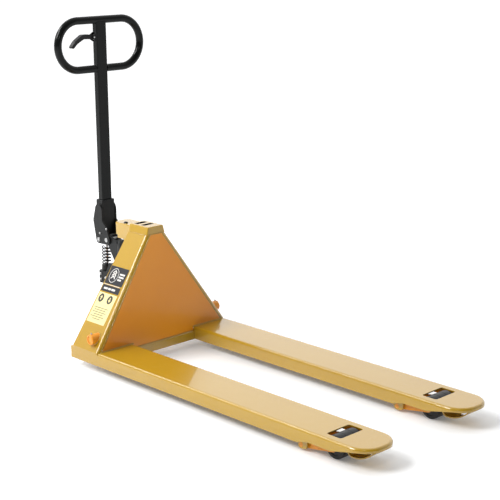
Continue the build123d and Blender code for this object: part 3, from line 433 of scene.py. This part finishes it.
# turns a profile of (radius, along) round the Y axis through centre
def lathe(shape, profile, centre, count=64):
    rings = []
    for radius, along in profile:
        ring = [shape.verts.new((centre.x + radius * cos(2 * pi * i / count), centre.y + along,
                                 centre.z + radius * sin(2 * pi * i / count))) for i in range(count)]
        rings.append(ring)
    closed = rings + [rings[0]]
    for first, second in zip(closed, closed[1:]):
        for index in range(count):
            after = (index + 1) % count
            shape.faces.new((first[index], first[after], second[after], second[index]))


# every tree takes a mesh of paths or points and a finish
def startTree(name, sockets):
    tree = bpy.data.node_groups.new(name, "GeometryNodeTree")
    tree.interface.new_socket("Geometry", in_out="OUTPUT", socket_type="NodeSocketGeometry")
    tree.interface.new_socket("Geometry", in_out="INPUT", socket_type="NodeSocketGeometry")
    for label, kind in sockets:
        tree.interface.new_socket(label, in_out="INPUT", socket_type="NodeSocket" + kind)
    maker = Maker(tree, "GeometryNode")
    start = Outputs(maker, tree.nodes.new("NodeGroupInput"))
    return tree, maker, start


def endTree(maker, start, shape):
    real = maker.node("RealizeInstances", {}, {"Geometry": shape})["Geometry"]
    smooth = maker.node("SetShadeSmooth", {}, {"Geometry": real, "Shade Smooth": True})["Geometry"]
    painted = maker.node("SetMaterial", {}, {"Geometry": smooth, "Material": start["Material"]})["Geometry"]
    maker.tree.links.new(painted.socket, maker.tree.nodes.new("NodeGroupOutput").inputs[0])


# a weld bead: a rippled round run along each edge path
def beadTree():
    tree, maker, start = startTree("weld bead", [("Radius", "Float"), ("Ripple", "Float"), ("Seed", "Int"),
                                                 ("Material", "Material")])
    path = maker.node("MeshToCurve", {}, {"Mesh": start["Geometry"]})["Curve"]
    step = start["Ripple"] * 0.25
    fine = maker.node("ResampleCurve", {"mode": "LENGTH"}, {"Curve": path, "Length": step})["Curve"]
    along = maker.node("SplineParameter")["Length"]
    wave = (along / start["Ripple"] * pi).math("SINE")
    swell = 0.86 + wave * wave * 0.2
    loose = maker.node("RandomValue", {"data_type": "FLOAT"}, {2: 0.96, 3: 1.05, "Seed": start["Seed"]})[1]
    sized = maker.node("SetCurveRadius", {}, {"Curve": fine, "Radius": swell * loose})["Curve"]
    ring = maker.node("CurvePrimitiveCircle", {}, {"Resolution": 10, "Radius": start["Radius"]})["Curve"]
    run = maker.node("CurveToMesh", {}, {"Curve": sized, "Profile Curve": ring, "Fill Caps": True})["Mesh"]
    endTree(maker, start, run)
    return tree


# hexagon heads with a washer under each, one on every point
def boltTree():
    tree, maker, start = startTree("hexagon bolts", [
        ("Axis", "Vector"), ("Head", "Float"), ("Height", "Float"), ("Sides", "Int"), ("Seed", "Int"),
        ("Material", "Material")])
    head = maker.node("MeshCone", {}, {"Vertices": start["Sides"], "Radius Top": start["Head"] * 0.9,
                                       "Radius Bottom": start["Head"], "Depth": start["Height"]})["Mesh"]
    washer = maker.node("MeshCone", {}, {"Vertices": 28, "Radius Top": start["Head"] * 1.2,
                                         "Radius Bottom": start["Head"] * 1.26,
                                         "Depth": start["Height"] * 0.22})["Mesh"]
    up = maker.node("CombineXYZ", {}, {"Z": start["Height"] * 0.15})["Vector"]
    head = maker.node("Transform", {}, {"Geometry": head, "Translation": up})["Geometry"]
    both = maker.node("JoinGeometry")
    for part in (head, washer):
        maker.tree.links.new(part.socket, both.item.inputs["Geometry"])
    spin = maker.node("RandomValue", {"data_type": "FLOAT"}, {2: 0.0, 3: 6.28, "Seed": start["Seed"]})[1]
    facing = maker.node("AlignRotationToVector", {"axis": "Z"}, {"Vector": start["Axis"]})["Rotation"]
    cloud = maker.node("MeshToPoints", {}, {"Mesh": start["Geometry"]})["Points"]
    heads = maker.node("InstanceOnPoints", {}, {"Points": cloud, "Instance": both["Geometry"],
                                                "Rotation": facing})["Instances"]
    turn = maker.node("CombineXYZ", {}, {"Z": spin})["Vector"]
    heads = maker.node("RotateInstances", {}, {"Instances": heads, "Rotation": turn})["Instances"]
    endTree(maker, start, heads)
    return tree


# a round wire or tube along a path
def wireTree():
    tree, maker, start = startTree("round wire", [("Radius", "Float"), ("Sides", "Int"), ("Step", "Float"),
                                                  ("Material", "Material")])
    path = maker.node("MeshToCurve", {}, {"Mesh": start["Geometry"]})["Curve"]
    fine = maker.node("ResampleCurve", {"mode": "LENGTH"}, {"Curve": path, "Length": start["Step"]})["Curve"]
    ring = maker.node("CurvePrimitiveCircle", {}, {"Resolution": start["Sides"],
                                                   "Radius": start["Radius"]})["Curve"]
    run = maker.node("CurveToMesh", {}, {"Curve": fine, "Profile Curve": ring, "Fill Caps": True})["Mesh"]
    endTree(maker, start, run)
    return tree


# a coil spring standing at the origin, its height along Z
def springTree():
    tree, maker, start = startTree("coil spring", [
        ("Turns", "Float"), ("Coil Radius", "Float"), ("Wire", "Float"), ("Height", "Float"),
        ("Material", "Material")])
    coil = maker.node("CurveSpiral", {}, {
        "Resolution": 36, "Rotations": start["Turns"], "Start Radius": start["Coil Radius"],
        "End Radius": start["Coil Radius"], "Height": start["Height"]})["Curve"]
    ring = maker.node("CurvePrimitiveCircle", {}, {"Resolution": 14, "Radius": start["Wire"]})["Curve"]
    run = maker.node("CurveToMesh", {}, {"Curve": coil, "Profile Curve": ring, "Fill Caps": True})["Mesh"]
    endTree(maker, start, run)
    return tree


# oval links down a line of points, every second one turned a quarter
def chainTree():
    tree, maker, start = startTree("link chain", [("Length", "Float"), ("Width", "Float"), ("Wire", "Float"),
                                                  ("Material", "Material")])
    half = start["Width"] * 0.5 - start["Wire"]
    oval = maker.node("CurvePrimitiveCircle", {}, {"Resolution": 28, "Radius": half})["Curve"]
    place = maker.node("InputPosition")["Position"]
    split = maker.node("SeparateXYZ", {}, {"Vector": place})
    reach = start["Length"] * 0.5 - start["Width"] * 0.5
    end = (split["Y"] * 100000.0).within(1.0)  # which end a point is at, -1 or 1
    shifted = split["Y"] + end * reach
    stretched = maker.node("CombineXYZ", {}, {"X": split["X"], "Z": shifted})["Vector"]
    oval = maker.node("SetPosition", {}, {"Geometry": oval, "Position": stretched})["Geometry"]
    ring = maker.node("CurvePrimitiveCircle", {}, {"Resolution": 10, "Radius": start["Wire"]})["Curve"]
    link = maker.node("CurveToMesh", {}, {"Curve": oval, "Profile Curve": ring})["Mesh"]
    index = maker.node("InputIndex")["Index"]
    quarter = index.math("MODULO", 2.0) * (pi / 2)
    turn = maker.node("CombineXYZ", {}, {"Z": quarter})["Vector"]
    cloud = maker.node("MeshToPoints", {}, {"Mesh": start["Geometry"]})["Points"]
    links = maker.node("InstanceOnPoints", {}, {"Points": cloud, "Instance": link, "Rotation": turn})
    endTree(maker, start, links["Instances"])
    return tree


trees = {"bead": beadTree(), "bolt": boltTree(), "wire": wireTree(), "spring": springTree(),
         "chain": chainTree()}


# runs a tree on paths or points and returns the plain mesh
def grown(name, treeName, paths, settings, finish, shift=None, closed=False):
    seed = bmesh.new()
    for path in paths:
        verts = [seed.verts.new(point) for point in path]
        for first, second in zip(verts, verts[1:]):
            seed.edges.new((first, second))
        if closed:
            seed.edges.new((verts[-1], verts[0]))
    mesh = bpy.data.meshes.new(name + " path")
    seed.to_mesh(mesh)
    seed.free()
    carrier = bpy.data.objects.new(name + " path", mesh)
    bpy.context.scene.collection.objects.link(carrier)
    modifier = carrier.modifiers.new("grow", "NODES")
    modifier.node_group = trees[treeName]
    for item in trees[treeName].interface.items_tree:
        if item.in_out == "OUTPUT":
            continue
        if item.name in settings:
            modifier[item.identifier] = settings[item.name]
        if item.name == "Material":
            modifier[item.identifier] = paint[finish]
    bpy.context.view_layer.update()
    graph = bpy.context.evaluated_depsgraph_get()
    result = bpy.data.meshes.new_from_object(carrier.evaluated_get(graph))
    carrier.modifiers.remove(modifier)
    bpy.data.objects.remove(carrier)
    if shift:
        result.transform(Matrix.Translation(shift))
    shape = bmesh.new()
    shape.from_mesh(result)
    bmesh.ops.remove_doubles(shape, verts=shape.verts, dist=1e-6)
    bmesh.ops.recalc_face_normals(shape, faces=shape.faces)
    shape.to_mesh(result)
    shape.free()
    result.name = name
    return result


def makeCamera():
    setting = {"place": (2.99940, -2.89066, 1.52300), "azimuth": 45.9355, "elevation": 14.1254,
               "roll": -0.3995, "lens": 92.24}
    turn, tilt, roll = (radians(setting[key]) for key in ("azimuth", "elevation", "roll"))
    back = Vector((sin(turn) * cos(tilt), -cos(turn) * cos(tilt), sin(tilt)))
    right = Vector((cos(turn), sin(turn), 0))
    up = back.cross(right)
    across = cos(roll) * right + sin(roll) * up
    above = -sin(roll) * right + cos(roll) * up
    lens = bpy.data.cameras.new("camera")
    lens.lens = setting["lens"]
    lens.sensor_width = 36
    camera = bpy.data.objects.new("camera", lens)
    matrix = Matrix((across, above, back)).transposed().to_4x4()
    matrix.translation = Vector(setting["place"])
    camera.matrix_world = matrix
    bpy.context.scene.collection.objects.link(camera)
    bpy.context.scene.camera = camera


def makeLight(name, place, target, size, power, colour=(1, 1, 1)):
    lamp = bpy.data.lights.new(name, "AREA")
    lamp.shape = "RECTANGLE"
    lamp.size, lamp.size_y = size
    lamp.energy = power
    lamp.color = colour
    light = bpy.data.objects.new(name, lamp)
    light.location = place
    aim = Vector(target) - Vector(place)
    if hypot(aim.x, aim.y) > 0.01:  # else it already faces straight down
        light.rotation_euler = aim.to_track_quat("-Z", "Y").to_euler()
    bpy.context.scene.collection.objects.link(light)


def makeStudio():
    studio = {"far": 1.28, "near": 0.10, "floor": (0.88, 0.89, 0.90), "glow": 0.14, "farGlow": 0.5}
    bpy.context.scene.view_settings.view_transform = "Standard"
    world = bpy.data.worlds.new("studio")
    bpy.context.scene.world = world
    world.use_nodes = True
    world.node_tree.nodes.clear()
    maker = Maker(world.node_tree, "ShaderNode")
    way = maker.node("TexCoord")["Generated"]
    parts = maker.node("SeparateXYZ", {}, {"Vector": way})
    behind = (parts["Y"] - parts["X"]).above(-0.7, 1.6)  # brighter on the far side
    strength = studio["near"] + behind * (studio["far"] - studio["near"])
    sky = maker.node("Background", {}, {"Color": (1, 1, 1, 1), "Strength": strength})["Background"]
    maker.node("OutputWorld", {}, {"Surface": sky})
    makeLight("key", (-1.6, -3.7, 4.0), (0, 0, 0.3), (2.2, 2.2), 245)
    makeLight("edge strip", (-2.6, -1.0, 2.8), (-2.6, -1.0, 0.0), (2.6, 0.6), 50)
    makeLight("fold spot", (1.95, -1.85, 2.3), (-0.4, -0.2, 0.3), (0.35, 0.35), 7)
    floorMaterial, maker, place = startMaterial("studio floor")
    soft = maker.noise(place, 1.2, 2.0)
    tone = maker.blend(soft * 0.3, studio["floor"], (0.88, 0.88, 0.87))
    away = maker.node("VectorMath", {"operation": "LENGTH"}, {0: place})["Value"].above(1.3, 2.2)
    glow = maker.blend(away, (studio["glow"],) * 3, (studio["farGlow"],) * 3)
    shader = maker.node("BsdfPrincipled", {}, {
        "Base Color": tone, "Roughness": 0.9, "Specular IOR Level": 0.1, "Emission Color": glow,
        "Emission Strength": 1.0})["BSDF"]
    maker.node("OutputMaterial", {}, {"Surface": shader})
    half = 25.0
    ground = cadBox[0][2] - 0.0004

    def sheet(shape):
        shape.faces.new([shape.verts.new((x, y, ground)) for x, y in
                         ((-half, -half), (half, -half), (half, half), (-half, half))])

    floor = bpy.data.objects.new("studio_floor", meshFrom("studio floor", sheet, smooth=False))
    floor.data.materials.append(floorMaterial)
    bpy.context.scene.collection.objects.link(floor)


makeCamera()
makeStudio()
print("camera and studio set")


# blank films with generic marks, no lettering
def sideLabels():
    label = {"x0": -579.5, "x1": -480.5, "thick": 0.35, "ink": 0.12, "corner": 2.0, "lift": 0.02,
             "badge": (281.0, 338.0), "strip": (256.0, 276.5), "card": (157.0, 252.0),
             "ring": (-546.0, 309.5), "ringOuter": 23.0, "ringInner": 21.2,
             "discs": ((-558.0, 235.0), (-509.5, 235.0)), "discRadius": 13.5,
             "rowTop": 205.0, "rowStep": 7.0,
             "rows": ((-572, -496), (-565, -503), (-570, -497), (-560, -508), (-572, -500), (-556, -512))}
    outward = onSide(0, 0.3, -1, 1.0) - onSide(0, 0.3, -1, 0.0)

    def patch(points, proud):
        return [onSide(x * mm, z * mm, -1, proud * mm) for x, z in points]

    base = label["thick"]
    ringX, ringZ = label["ring"]

    def mark(shape, points, proud=base, thick=label["ink"]):
        slab(shape, patch(points, proud), outward * thick * mm)

    def addMarks(name, build, finish):
        newPiece(name, meshFrom(name, build, smooth=False), finish, "frame")

    def addFilm(name, place, finish):
        z0, z1 = label[place]
        outline = roundedBox(label["x0"], z0, label["x1"], z1, label["corner"])
        addMarks(name, lambda shape: mark(shape, outline, label["lift"], base), finish)

    # a ring with three lift chevrons beside blank bars
    def badgeMarks(shape):
        outer = patch(circlePoints(ringX, ringZ, label["ringOuter"], 56), base)
        inner = patch(circlePoints(ringX, ringZ, label["ringInner"], 56), base)
        ringSlab(shape, outer, inner, outward * label["ink"] * mm)
        for step in range(3):
            z = ringZ - 12.5 + step * 8.5
            mark(shape, [(ringX - 11, z), (ringX, z + 8.5), (ringX + 11, z), (ringX + 11, z + 5),
                         (ringX, z + 13.5), (ringX - 11, z + 5)])
        for z, x1 in ((317.5, -490.5), (308.5, -490.5), (299.5, -499.0)):
            mark(shape, roundedBox(-518.5, z - 2.6, x1, z + 2.6, 0.8))

    def stripMarks(shape):
        for x0, x1 in ((-568, -547), (-543.5, -529), (-525.5, -505)):
            mark(shape, roundedBox(x0, 263.2, x1, 269.2, 1.0))
        mark(shape, roundedBox(-577.0, 278.0, -489.0, 279.4, 0.5), label["lift"], 0.2)

    def cardInk(shape):
        for x, z in label["discs"]:
            mark(shape, circlePoints(x, z, label["discRadius"]))
        for row, (x0, x1) in enumerate(label["rows"]):
            z = label["rowTop"] - row * label["rowStep"]
            mark(shape, roundedBox(x0, z - 0.8, x1, z + 0.8, 0.4))

    # an arrow up on the first disc and an arrow down on the second
    def cardSigns(shape):
        for (x, z), way in zip(label["discs"], (1, -1)):
            arrow = [(x - 2.2, z - 7 * way), (x + 2.2, z - 7 * way), (x + 2.2, z + 1 * way),
                     (x + 7, z + 1 * way), (x, z + 8.5 * way), (x - 7, z + 1 * way), (x - 2.2, z + 1 * way)]
            mark(shape, arrow, base + label["ink"], 0.1)

    addFilm("label_badge", "badge", "filmDark")
    addFilm("label_strip", "strip", "filmDark")
    addFilm("label_card", "card", "filmCream")
    addMarks("label_badge_marks", badgeMarks, "filmWhite")
    addMarks("label_strip_marks", stripMarks, "filmWhite")
    addMarks("label_card_ink", cardInk, "ink")
    addMarks("label_card_signs", cardSigns, "filmCream")


def capLabel():
    cap = {"x0": -570.0, "x1": -508.0, "y0": -27.0, "y1": 23.0, "bars": ((-568.0, -548.0), (-530.0, -511.0))}
    top = high("head_cap").z
    up = Vector((0, 0, 1))

    def flat(points, lift):
        return [Vector((x * mm, y * mm, top - 0.3 * mm + lift * mm)) for x, y in points]

    def base(shape):
        slab(shape, flat(roundedBox(cap["x0"], cap["y0"], cap["x1"], cap["y1"], 2.0), 0.1), up * 0.12 * mm)

    def bars(shape):
        for x0, x1 in cap["bars"]:
            slab(shape, flat(roundedBox(x0, cap["y0"] + 2, x1, cap["y1"] - 2, 1.5), 0.22), up * 0.08 * mm)

    newPiece("cap_label", meshFrom("cap_label", base, smooth=False), "filmWhite", "frame")
    newPiece("cap_label_bars", meshFrom("cap_label_bars", bars, smooth=False), "filmDark", "frame")


sideLabels()
capLabel()
print("labels made")


def bead(name, paths, radius, body, finish, closed=False, seed=1):
    settings = {"Radius": radius * mm, "Ripple": radius * 1.5 * mm, "Seed": seed}
    newPiece(name, grown(name, "bead", paths, settings, finish, closed=closed), finish, body)


def bolts(name, points, axis, head, height, sides, body, finish, seed=3):
    settings = {"Axis": axis, "Head": head * mm, "Height": height * mm, "Sides": sides, "Seed": seed}
    newPiece(name, grown(name, "bolt", [[point] for point in points], settings, finish), finish, body)


def wires(name, paths, radius, sides, step, body, finish, closed=False):
    settings = {"Radius": radius * mm, "Sides": sides, "Step": step}
    newPiece(name, grown(name, "wire", paths, settings, finish, closed=closed), finish, body)


# points round a circle that faces along Y
def roundY(x, y, z, radius, count):
    return [Vector((px, y, pz)) for px, pz in circlePoints(x, z, radius, count)]


def frameWelds():
    weld = {"foot": 2.6, "cap": 1.7, "boss": 2.0, "lip": 1.2, "lipIn": 12.5, "reachIn": 12, "inner": 162,
            "sillReach": 140, "capReach": 36, "capStart": -574, "capEnd": -478}
    across = []
    reach = halfWidth - weld["reachIn"] * mm
    for side in (-1, 1):
        inner = side * (halfWidth - weld["inner"] * mm)
        ys = [inner + (side * reach - inner) * step / 8 for step in range(9)]
        across.append([Vector((footX + 0.4 * mm, y, forkTop + 0.3 * mm)) for y in ys])
    bead("fork_heel_welds", across, weld["foot"], "frame", "yellow")
    sillTop = high("crossmember").z
    sill = [Vector((frontX(sillTop) + 1.2 * mm, y * mm, sillTop + 0.2 * mm))
            for y in range(-weld["sillReach"], weld["sillReach"] + 1, 20)]
    bead("crossmember_weld", [sill], weld["cap"], "frame", "yellow", seed=4)
    capFront = [Vector((frontX(plateTop) + 0.3 * mm, y * mm, plateTop))
                for y in range(-weld["capReach"], weld["capReach"] + 1, 6)]
    capSides = [[onSide(x * mm, plateTop - 0.4 * mm, side, 0.2 * mm)
                 for x in range(weld["capStart"], weld["capEnd"], 6)] for side in (-1, 1)]
    bead("head_cap_welds", [capFront] + capSides, weld["cap"], "frame", "yellow", seed=7)
    boss = middle("shaft_boss_right")
    bossRadius = (high("shaft_boss_right").z - low("shaft_boss_right").z) / 2 + 0.4 * mm
    rim = circlePoints(boss.x, boss.z, bossRadius, 48)
    rings = [[onSide(x, z, side) for x, z in rim] for side in (-1, 1)]
    bead("boss_welds", rings, weld["boss"], "frame", "yellow", closed=True, seed=9)
    lips = []
    for side in (-1, 1):
        line = []
        for step in range(13):
            z = forkTop + 6 * mm + (plateTop - forkTop - 12 * mm) * step / 12
            y = halfWidth - (z - forkTop) * tan(slant) - weld["lipIn"] * mm / cos(slant)
            line.append(Vector((frontX(z) + 0.15 * mm, side * y, z)))
        lips.append(line)
    wires("fold_seams", lips, weld["lip"], 10, 0.02, "frame", "yellow")


def frameHardware():
    plug = {"x": -176, "y": -20, "down": 7.4, "head": 7.0, "height": 3.0, "sides": 28}
    place = Vector((footX + plug["x"] * mm, plug["y"] * mm, high("head_cap").z - plug["down"] * mm))
    bolts("hook_plug", [place], (0, 0, 1), plug["head"], plug["height"], plug["sides"], "frame", "filmDark")
    nipple = {"in": 9, "up": 1.2, "head": 2.6, "height": 4.0, "sides": 6}
    boss = middle("shaft_boss_right")
    top = high("shaft_boss_right").z + nipple["up"] * mm
    places = [Vector((boss.x, side * (halfWidth - nipple["in"] * mm), top)) for side in (-1, 1)]
    bolts("grease_nipples", places, (0, 0, 1), nipple["head"], nipple["height"], nipple["sides"], "frame",
          "steel")


def handleHardware():
    cheek = high("handle_base").y
    rivets = {"spots": ((-275.0, 435.0), (-315.0, 413.0)), "head": 3.4, "height": 2.4, "sides": 20}
    for side, name in ((-1, "right"), (1, "left")):
        points = [Vector((footX + x * mm, side * (cheek + 0.2 * mm), z * mm)) for x, z in rivets["spots"]]
        bolts("base_rivets_" + name, points, (0, side, 0), rivets["head"], rivets["height"], rivets["sides"],
              "handle", "steel")
    clip = {"ring": 7.5, "wire": 1.1, "out": 0.4}
    pin = middle("press_pin")
    out = cheek + clip["out"] * mm
    rings = [roundY(pin.x, side * out, pin.z, clip["ring"] * mm, 32) for side in (-1, 1)]
    wires("press_pin_clips", rings, clip["wire"], 8, 0.0015, "handle", "steel", closed=True)
    tubeHalf = high("handle_tube").y
    loopX = middle("handle_loop").x
    loopRadius = (high("handle_loop").x - low("handle_loop").x) / 2
    loopZ = low("handle_loop").z + loopRadius
    rings = [roundY(loopX, side * (tubeHalf + 0.6 * mm), loopZ, loopRadius, 36) for side in (-1, 1)]
    bead("loop_welds", rings, 1.7, "handle", "black", closed=True, seed=12)
    rim = {"x": 19.0, "out": 4, "down": 0.6, "wire": 1.2}
    z = high("handle_base").z - rim["down"] * mm
    corners = [Vector((loopX + x * rim["x"] * mm, y * (tubeHalf + rim["out"] * mm), z))
               for x, y in ((1, 1), (-1, 1), (-1, -1), (1, -1))]
    wires("sleeve_rim", [corners], rim["wire"], 8, 0.003, "handle", "casting", closed=True)


def pumpHardware():
    foot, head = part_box("piston_spring")
    coil = {"wire": 2.1 * mm, "turns": 6.0, "keep": 0.37}
    radius = (head.x - foot.x) / 2 - coil["wire"]
    settings = {"Turns": coil["turns"], "Coil Radius": radius, "Wire": coil["wire"],
                "Height": head.z - foot.z - 2 * coil["wire"]}
    centre = (foot + head) / 2
    mesh = grown("return_spring", "spring", [[Vector()]], settings, "casting",
                 shift=Vector((centre.x, centre.y, foot.z + coil["wire"])))
    spring = newPiece("return_spring", mesh, "casting", "pump", replaced=("piston_spring",))
    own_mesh(spring)
    foot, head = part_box("release_chain")
    link = {"pitch": 12 * mm, "count": 5, "length": 17 * mm, "width": 9 * mm, "wire": 1.1 * mm}
    centre = (foot + head) / 2
    points = [[Vector((centre.x, centre.y, head.z - link["length"] / 2 - step * link["pitch"]))]
              for step in range(link["count"])]
    settings = {"Length": link["length"], "Width": link["width"], "Wire": link["wire"]}
    newPiece("pull_chain", grown("pull_chain", "chain", points, settings, "steel"), "steel", "chain",
             replaced=("release_chain",))
    bolt = {"flank": 24.5, "spots": ((14, 228), (14, 250), (44, 239)), "head": 4.2, "height": 3.2, "sides": 6}
    rear = low("pump_body").x
    for side, name in ((-1, "right"), (1, "left")):
        points = [Vector((rear + x * mm, side * bolt["flank"] * mm, z * mm)) for x, z in bolt["spots"]]
        bolts("pump_bolts_" + name, points, (0, side, 0), bolt["head"], bolt["height"], bolt["sides"], "pump",
              "steel", seed=5)


# a piece turned from a profile of (radius, along) in millimetres
def turnedPiece(name, profile, centre, finish, body, replaced):
    scaled = [(radius * mm, along * mm) for radius, along in profile]
    mesh = meshFrom(name, lambda shape: lathe(shape, scaled, centre, 96))
    mesh.set_sharp_from_angle(angle=radians(32))
    newPiece(name, mesh, finish, body, replaced=replaced)


# the same profile on the other side of the middle, in the order that closes it
def mirrored(half):
    return half + [(radius, -along) for radius, along in reversed(half) if along]


def rollers():
    load = mirrored([
        (8.1, -44.8), (17, -44.8), (17.6, -43.2), (25, -43.2), (25.8, -45), (33.6, -45), (35.6, -44.4),
        (36.7, -42.6), (37, -40), (37, -17.5), (36.2, -16.6), (36.2, -14.4), (37, -13.5)])
    steer = mirrored([
        (68, -22.8), (76, -22.8), (77, -21.4), (82, -21.4), (83, -22.6), (85.5, -22.6), (88, -21.2),
        (89.3, -18.6), (89.8, -12), (90, 0)])
    hub = {"ring": 44, "out": 12.0, "count": 6, "head": 4.5, "height": 3.6, "sides": 6}
    for side, way in (("left", 1), ("right", -1)):
        turnedPiece("roller_tread_" + side, load, middle("load_roller_" + side), "nylon", "roller_" + side,
                    ("load_roller_" + side,))
        centre = middle("wheel_tyre_" + side)
        turnedPiece("steer_tread_" + side, steer, centre, "tyre", "wheel_" + side, ("wheel_tyre_" + side,))
        points = roundY(centre.x, centre.y + way * hub["out"] * mm, centre.z, hub["ring"] * mm, hub["count"])
        bolts("hub_bolts_" + side, points, (0, way, 0), hub["head"], hub["height"], hub["sides"],
              "wheel_" + side, "steel", seed=8)


frameWelds()
print("welds run")
frameHardware()
handleHardware()
pumpHardware()
print("hardware fitted")
rollers()
print("rollers and treads turned")
